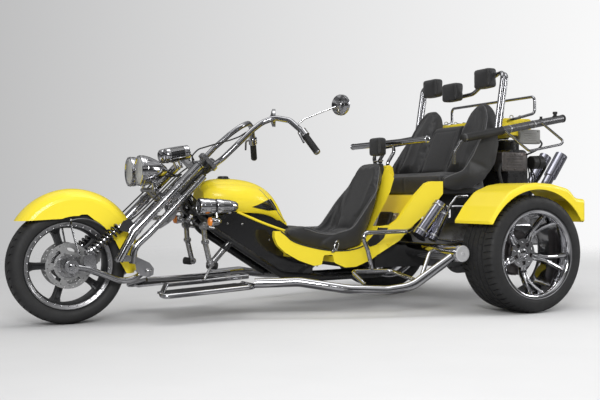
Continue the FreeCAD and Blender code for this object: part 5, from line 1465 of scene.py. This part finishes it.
# ------------------------------------------------------------------ engine dressing
a = Acc()
for s in (1, -1):
    for k in range(12):
        a.box(P(-2840, s * (212 + k * 10.5), 430), (290, 4.2, 168), None, 1.2, 1)
    a.box(P(-2840, s * 262, 430), (272, 118, 150), None, 10, 2)
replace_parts(a.done("cylinder_fins", CAST, "chassis", 30), "engine_block")
a = Acc()
for s in (1, -1):
    a.box(P(-2840, s * 362, 424), (270, 54, 136), None, 22, 4)
    for x in (-2740, -2840, -2940):
        a.hexhead(P(x, s * 388, 424), (0, s, 0), 8, 7)
    for x in (-2780, -2900):
        a.rev(P(x, s * 190, 352), P(x, s * 338, 352), [(0, 11), (148, 11)], 20)
a.done("valve_covers", CHROME, "chassis", 35)
a = Acc()
a.box(P(-2840, 0, 450), (392, 386, 292), None, 26, 3)
for k in range(8):
    a.box(P(-2700 - k * 40, 0, 306), (10, 330, 26), None, 3, 1)
for s in (1, -1):
    for k in range(4):
        a.box(P(-2700 - k * 90, s * 194, 450), (12, 14, 250), None, 4, 1)
a.rev(P(-3036, 0, 470), P(-3060, 0, 470), [(0, 0), (0, 84), (4, 88), (8, 88), (10, 80), (14, 80), (16, 88), (20, 88), (24, 84), (24, 40), (18, 36), (18, 0)], 48)
a.done("crankcase", CAST, "chassis", 32)
BELT = RUBBER_AND_SHADE
a = Acc()
loop = []
for k in range(13):
    an = math.pi * k / 12
    loop.append(P(-3046, 64 * math.cos(an), 810 + 64 * math.sin(an)))
for k in range(13):
    an = math.pi + math.pi * k / 12
    loop.append(P(-3046, 82 * math.cos(an), 470 + 82 * math.sin(an)))
loop.append(loop[0])
a.tube(loop, 6, 8, smooth=0)
a.done("fan_belt", BELT, "chassis", 50)
a = Acc()
a.rev(P(-3008, 0, 810), P(-3058, 0, 810), [(0, 30), (26, 34), (28, 64), (32, 67), (36, 62), (39, 62), (43, 67), (47, 64), (48, 30), (50, 28), (50, 0)], 48)
for k in range(6):
    an = 2 * math.pi * k / 6
    a.hexhead(P(-3058, 20 * math.cos(an), 810 + 20 * math.sin(an)), (-1, 0, 0), 4, 4)
a.done("generator_pulley", STEEL, "chassis", 35)
a = Acc()
for k in range(10):
    a.rev(P(-2862 - k * 15, 0, 810), P(-2870 - k * 15, 0, 810), [(0, 60), (0, 91), (2, 92), (6, 92), (8, 90), (8, 60)], 48, close=True)
a.done("generator_ribs", DARKMETAL, "chassis", 35)
a = Acc()
for s in (1, -1):
    a.tube([P(-2935, s * 40, 850), P(-2936, s * 120, 880), P(-2925, s * 200, 840), P(-2890, s * 250, 700), P(-2860, s * 270, 520)], 21, 16)
    a.rev(P(-2860, s * 270, 508), P(-2860, s * 270, 524), [(0, 34), (12, 34), (14, 30), (14, 0)], 28)
a.done("intake_runners", DARKMETAL, "chassis", 40)
a = Acc()
a.rev(P(-2930, 60, 948), P(-2930, 60, 1046), [(0, 60), (0, 84), (4, 87), (16, 87), (18, 84)], 56)
a.rev(P(-2930, 60, 948), P(-2930, 60, 1046), [(76, 84), (78, 87), (88, 87), (92, 84), (94, 60), (96, 14), (102, 12), (103, 0)], 56)
a.done("filter_lids", CHROME, "chassis", 35)
a = Acc()
for k in range(72):
    an = 2 * math.pi * k / 72
    a.box(P(-2930 + 84.5 * math.cos(an), 60 + 84.5 * math.sin(an), 995), (4.5, 3.0, 62), Matrix.Rotation(an, 3, "Z"), 1, 1)
a.done("filter_pleats", BLACK_PLASTIC_AND_SHADE, "chassis", 40)
a = Acc()
a.box(P(-2745, 330, 884), (200, 90, 124), None, 12, 3)
a.box(P(-2745, -330, 884), (200, 90, 124), None, 12, 3)
for s in (1, -1):
    for x in (-2668, -2745, -2822):
        for z in (836, 932):
            a.dome(P(x, s * 375, z), (0, s, 0), 7, 4, 12)
    for k in range(5):
        a.box(P(-2745, s * 376, 848 + k * 18), (130, 4, 6), None, 1.5, 1)
a.done("electrics_cases", DARKMETAL, "chassis", 35)
a = Acc()
for s in (1, -1):
    a.rev(P(-2890, s * 352, 880), P(-2990, s * 352, 884), [(0, 0), (0, 40), (3, 43), (40, 43), (42, 38), (46, 38), (48, 43), (88, 43), (94, 38), (100, 30), (100, 0)], 36)
a.done("ignition_coils", BLACK_PLASTIC_AND_SHADE, "chassis", 35)
a = Acc()
for s in (1, -1):
    a.box(P(-2868, s * 352, 1046), (170, 50, 92), None, 8, 3)
    for x in (-2930, -2806):
        a.dome(P(x, s * 377, 1080), (0, s, 0), 5, 3, 12)
        a.dome(P(x, s * 377, 1012), (0, s, 0), 5, 3, 12)
    for k in range(4):
        a.box(P(-2868, s * 377, 1025 + k * 14), (96, 4, 5), None, 1.5, 1)
a.done("deck_side_cases", GREYBOX, "chassis", 35)
a = Acc()
for s in (1, -1):
    a.tube([P(-2650, s * 360, 870), P(-2620, s * 372, 820), P(-2640, s * 380, 720), P(-2700, s * 330, 640), P(-2760, s * 300, 560)], 11, 12)
    a.tube([P(-2990, s * 352, 884), P(-3030, s * 330, 850), P(-3030, s * 250, 760), P(-2980, s * 220, 640)], 9, 12)
    a.tube([P(-2840, s * 375, 930), P(-2900, s * 400, 960), P(-2960, s * 380, 1000), P(-3000, s * 300, 1040)], 6, 10)
    for k in range(4):
        a.tube([P(-2990, s * (60 + 25 * k), 1000 - 10 * k), P(-3040, s * (120 + 30 * k), 900 - 30 * k), P(-3010, s * (180 + 20 * k), 700), P(-2940 + k * 30, s * 300, 545)], 4.5, 8)
a.done("engine_hoses", RUBBER_AND_SHADE, "chassis", 50)

# exhaust: bores and bands
# painted shade: black plugs fill the pipe ends in place of the dark inside of the bores
a = Acc()
for s in (1, -1):
    for y, A, B, R in ((80, (-3340, 860), (-3352, 874), 27), (0, 0, 0, 0)):
        if R:
            a.rev(P(A[0], s * y, A[1]), P(B[0], s * y, B[1]), [(0, 0), (0, R), (19, R), (19, 0)], 32)
a.done("exhaust_bore_shade", RUBBER_AND_SHADE, "chassis", 40)
a = Acc()
for s in (1, -1):
    for y in (250, 90):
        a.rev(P(-3150, s * y, 430), P(-3150, s * (y + 12), 430), [(0, 82), (0, 84), (2, 85), (14, 85), (16, 84), (16, 82)], 56)
        a.box(P(-3150, s * (y + 8), 520), (16, 14, 14), None, 3, 1)
a.done("muffler_bands", STEEL, "chassis", 35)

# rear springs
for side, s in (("left", 1), ("right", -1)):
    A, B = P(-2360, s * 500, 380), P(-2330, s * 470, 660)
    d = (B - A).normalized(); L = (B - A).length * 1000
    a = Acc(); a.helix(A + d * .042, A + d * ((L - 62) * .001), 26, 5.5, 8)
    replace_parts(a.done("rear_spring_" + side, COILBLACK, "chassis", 50), "rear_shocks")
    a = Acc()
    a.rev(A, B, [(0, 12), (L, 12)], 20)
    a.rev(A, B, [(28, 12), (30, 30), (36, 32), (40, 32), (42, 28), (42, 12)], 36)
    a.rev(A, B, [(L - 62, 12), (L - 62, 30), (L - 58, 32), (L - 52, 32), (L - 50, 24), (L - 22, 24), (L - 14, 12)], 36)
    a.rev(A, P(-2360, s * 560, 380), [(-16, 14), (60, 14)], 24)
    a.rev(A, B, [(-14, 0), (-14, 18), (10, 18), (14, 12)], 24)
    a.done("rear_damper_" + side, STEEL, "chassis", 35)

# blank plate and its carrier, under the deck's rear edge
a = Acc(); a.box(P(-2898, 0, 1098), (3, 250, 92), None, 1.4, 2)
a.done("plate_blank", WHITEFACE, "chassis", 35)
a = Acc(); a.box(P(-2894.5, 0, 1098), (4, 266, 106), None, 1.8, 2)
for y in (-90, 90):
    a.dome(P(-2899.5, y, 1126), (-1, 0, 0), 5, 3, 12)
a.done("plate_frame", CHROME, "chassis", 35)

# ------------------------------------------------------------------ setting, light and camera
CAM = Vector((2.5396, 4.828, 0.679))
PSI, PITCH, ROLL = math.radians(26.25), math.radians(0.31), math.radians(-0.35)
fwd = Vector((-math.sin(PSI) * math.cos(PITCH), -math.cos(PSI) * math.cos(PITCH), -math.sin(PITCH)))
right = Vector((-math.cos(PSI), math.sin(PSI), 0.0))
up = right.cross(fwd)
r2 = right * math.cos(ROLL) + up * math.sin(ROLL)
u2 = up * math.cos(ROLL) - right * math.sin(ROLL)
cam = bpy.data.cameras.new("studio_camera")
cam.lens = 53.22
cam.sensor_width = 36.0
camo = bpy.data.objects.new("studio_camera", cam)
m4 = Matrix((r2, u2, -fwd)).transposed().to_4x4()
m4.translation = CAM
camo.matrix_world = m4
SCENE.collection.objects.link(camo)
SCENE.camera = camo


def floor():
    me = bpy.data.meshes.new("studio_floor")
    s = 60.0
    me.from_pydata([(-s, -s, 0), (s, -s, 0), (s, s, 0), (-s, s, 0)], [], [(0, 1, 2, 3)])
    ob = bpy.data.objects.new("studio_floor", me)
    SCENE.collection.objects.link(ob)
    m = bpy.data.materials.new("studio_floor")
    m.use_nodes = True
    nt = m.node_tree
    nt.nodes.clear()
    out = nt.nodes.new("ShaderNodeOutputMaterial")
    b = nt.nodes.new("ShaderNodeBsdfPrincipled")
    b.inputs["Roughness"].default_value = 0.85
    b.inputs["Specular IOR Level"].default_value = 0.2
    tc = nt.nodes.new("ShaderNodeTexCoord")
    n = nt.nodes.new("ShaderNodeTexNoise")
    n.inputs["Scale"].default_value = 3.0
    nt.links.new(tc.outputs["Object"], n.inputs["Vector"])
    rp = nt.nodes.new("ShaderNodeValToRGB")
    rp.color_ramp.elements[0].color = (0.76, 0.76, 0.765, 1)
    rp.color_ramp.elements[1].color = (0.80, 0.80, 0.805, 1)
    nt.links.new(n.outputs["Fac"], rp.inputs[0])
    # painted reflection: glossy rays see the floor as dark, mottled grey, far darker than its own colour
    painted_reflection_tone = nt.nodes.new("ShaderNodeValToRGB")
    painted_reflection_tone.color_ramp.elements[0].position = 0.44
    painted_reflection_tone.color_ramp.elements[1].position = 0.56
    painted_reflection_tone.color_ramp.elements[0].color = (0.10, 0.10, 0.105, 1)
    painted_reflection_tone.color_ramp.elements[1].color = (0.50, 0.50, 0.505, 1)
    nt.links.new(n.outputs["Fac"], painted_reflection_tone.inputs[0])
    lp = nt.nodes.new("ShaderNodeLightPath")
    pick = nt.nodes.new("ShaderNodeMix")
    pick.data_type = "RGBA"
    nt.links.new(lp.outputs["Is Glossy Ray"], pick.inputs["Factor"])
    # painted shade: the floor's colour is scaled from 1.0 down to 0.78 towards the front of the machine
    sx = nt.nodes.new("ShaderNodeSeparateXYZ")
    nt.links.new(tc.outputs["Object"], sx.inputs[0])
    painted_shade_ramp = nt.nodes.new("ShaderNodeMapRange")
    painted_shade_ramp.inputs["From Min"].default_value = -0.6
    painted_shade_ramp.inputs["From Max"].default_value = 2.2
    painted_shade_ramp.inputs["To Min"].default_value = 1.0
    painted_shade_ramp.inputs["To Max"].default_value = 0.78
    nt.links.new(sx.outputs["X"], painted_shade_ramp.inputs["Value"])
    shade = nt.nodes.new("ShaderNodeVectorMath")
    shade.operation = "SCALE"
    nt.links.new(rp.outputs[0], shade.inputs[0])
    nt.links.new(painted_shade_ramp.outputs["Result"], shade.inputs["Scale"])
    nt.links.new(shade.outputs["Vector"], pick.inputs["A"])
    nt.links.new(painted_reflection_tone.outputs[0], pick.inputs["B"])
    nt.links.new(pick.outputs["Result"], b.inputs["Base Color"])
    tr = nt.nodes.new("ShaderNodeBsdfTransparent")
    ln = nt.nodes.new("ShaderNodeVectorMath")
    ln.operation = "LENGTH"
    nt.links.new(tc.outputs["Object"], ln.inputs[0])
    mr = nt.nodes.new("ShaderNodeMapRange")
    mr.interpolation_type = "SMOOTHSTEP"
    mr.inputs["From Min"].default_value = 2.4
    mr.inputs["From Max"].default_value = 7.5
    nt.links.new(ln.outputs["Value"], mr.inputs["Value"])
    mix = nt.nodes.new("ShaderNodeMixShader")
    nt.links.new(mr.outputs[0], mix.inputs[0])
    nt.links.new(b.outputs[0], mix.inputs[1])
    nt.links.new(tr.outputs[0], mix.inputs[2])
    nt.links.new(mix.outputs[0], out.inputs[0])
    me.materials.append(m)


floor()


def world():
    w = bpy.data.worlds.new("studio")
    SCENE.world = w
    w.use_nodes = True
    nt = w.node_tree
    nt.nodes.clear()
    out = nt.nodes.new("ShaderNodeOutputWorld")
    tc = nt.nodes.new("ShaderNodeTexCoord")
    sep = nt.nodes.new("ShaderNodeSeparateXYZ")
    nt.links.new(tc.outputs["Generated"], sep.inputs[0])
    # what the eye sees: pale, with painted shade darkening it towards the front of the machine
    mr = nt.nodes.new("ShaderNodeMapRange")
    mr.inputs["From Min"].default_value = -0.13
    mr.inputs["From Max"].default_value = -0.705
    nt.links.new(sep.outputs["X"], mr.inputs["Value"])
    cr = nt.nodes.new("ShaderNodeValToRGB")
    cr.color_ramp.elements[0].color = (0.525, 0.525, 0.528, 1)
    cr.color_ramp.elements[1].color = (0.955, 0.955, 0.957, 1)
    nt.links.new(mr.outputs[0], cr.inputs[0])
    bg1 = nt.nodes.new("ShaderNodeBackground")
    nt.links.new(cr.outputs[0], bg1.inputs["Color"])
    bg1.inputs["Strength"].default_value = 1.0
    # what bright metal sees: a studio with dark gaps between the lamps
    mz = nt.nodes.new("ShaderNodeMapRange")
    mz.inputs["From Min"].default_value = -1.0
    mz.inputs["From Max"].default_value = 1.0
    nt.links.new(sep.outputs["Z"], mz.inputs["Value"])
    c2 = nt.nodes.new("ShaderNodeValToRGB")
    el = c2.color_ramp.elements
    el[0].position = 0.0; el[0].color = (0.42, 0.42, 0.42, 1)
    el[1].position = 1.0; el[1].color = (0.70, 0.70, 0.70, 1)
    for pos, v in ((0.47, 0.40), (0.497, 0.10), (0.53, 0.045), (0.60, 0.06), (0.625, 0.42), (0.66, 0.58), (0.69, 0.18), (0.76, 0.10), (0.80, 0.55), (0.90, 0.62)):
        e = el.new(pos); e.color = (v, v, v * 1.01, 1)
    nt.links.new(mz.outputs[0], c2.inputs[0])
    nz = nt.nodes.new("ShaderNodeTexNoise")
    nz.inputs["Scale"].default_value = 2.3
    nz.inputs["Detail"].default_value = 1.0
    nt.links.new(tc.outputs["Generated"], nz.inputs["Vector"])
    c3 = nt.nodes.new("ShaderNodeValToRGB")
    c3.color_ramp.elements[0].position = 0.42; c3.color_ramp.elements[0].color = (0.30, 0.30, 0.30, 1)
    c3.color_ramp.elements[1].position = 0.58; c3.color_ramp.elements[1].color = (1.15, 1.15, 1.15, 1)
    nt.links.new(nz.outputs["Fac"], c3.inputs[0])
    mulc = nt.nodes.new("ShaderNodeMix")
    mulc.data_type = "RGBA"; mulc.blend_type = "MULTIPLY"
    mulc.inputs["Factor"].default_value = 1.0
    nt.links.new(c2.outputs[0], mulc.inputs["A"])
    nt.links.new(c3.outputs[0], mulc.inputs["B"])
    bg2 = nt.nodes.new("ShaderNodeBackground")
    nt.links.new(mulc.outputs["Result"], bg2.inputs["Color"])
    bg2.inputs["Strength"].default_value = 0.95
    # soft fill for everything else
    c4 = nt.nodes.new("ShaderNodeValToRGB")
    c4.color_ramp.elements[0].position = 0.45; c4.color_ramp.elements[0].color = (0.55, 0.55, 0.55, 1)
    c4.color_ramp.elements[1].position = 0.75; c4.color_ramp.elements[1].color = (0.80, 0.80, 0.80, 1)
    nt.links.new(mz.outputs[0], c4.inputs[0])
    bg3 = nt.nodes.new("ShaderNodeBackground")
    nt.links.new(c4.outputs[0], bg3.inputs["Color"])
    bg3.inputs["Strength"].default_value = 0.88
    lp = nt.nodes.new("ShaderNodeLightPath")
    mxg = nt.nodes.new("ShaderNodeMixShader")
    nt.links.new(lp.outputs["Is Glossy Ray"], mxg.inputs[0])
    nt.links.new(bg3.outputs[0], mxg.inputs[1])
    nt.links.new(bg2.outputs[0], mxg.inputs[2])
    mx = nt.nodes.new("ShaderNodeMixShader")
    nt.links.new(lp.outputs["Is Camera Ray"], mx.inputs[0])
    nt.links.new(mxg.outputs[0], mx.inputs[1])
    nt.links.new(bg1.outputs[0], mx.inputs[2])
    nt.links.new(mx.outputs[0], out.inputs[0])


world()


def area(name, loc, target, size, power, size_y=None, color=(1, 1, 1)):
    l = bpy.data.lights.new(name, "AREA")
    l.energy = power
    l.color = color
    l.shape = "RECTANGLE"
    l.size = size
    l.size_y = size_y or size
    o = bpy.data.objects.new(name, l)
    o.location = loc
    o.rotation_euler = (Vector(target) - Vector(loc)).to_track_quat("-Z", "Y").to_euler()
    SCENE.collection.objects.link(o)


area("overhead_softbox", (0.2, 0.3, 4.4), (0, 0, 0.4), 3.6, 46, 2.0)
area("key_softbox", (2.6, 4.4, 2.6), (0.2, 0.2, 0.6), 1.8, 112, 1.2)
area("rear_softbox", (-4.2, 2.6, 2.2), (-0.8, 0.2, 0.6), 1.2, 45, 1.6)

SCENE.view_settings.view_transform = "Standard"
SCENE.view_settings.look = "None"
SCENE.view_settings.exposure = 0.0
SCENE.view_settings.gamma = 1.0
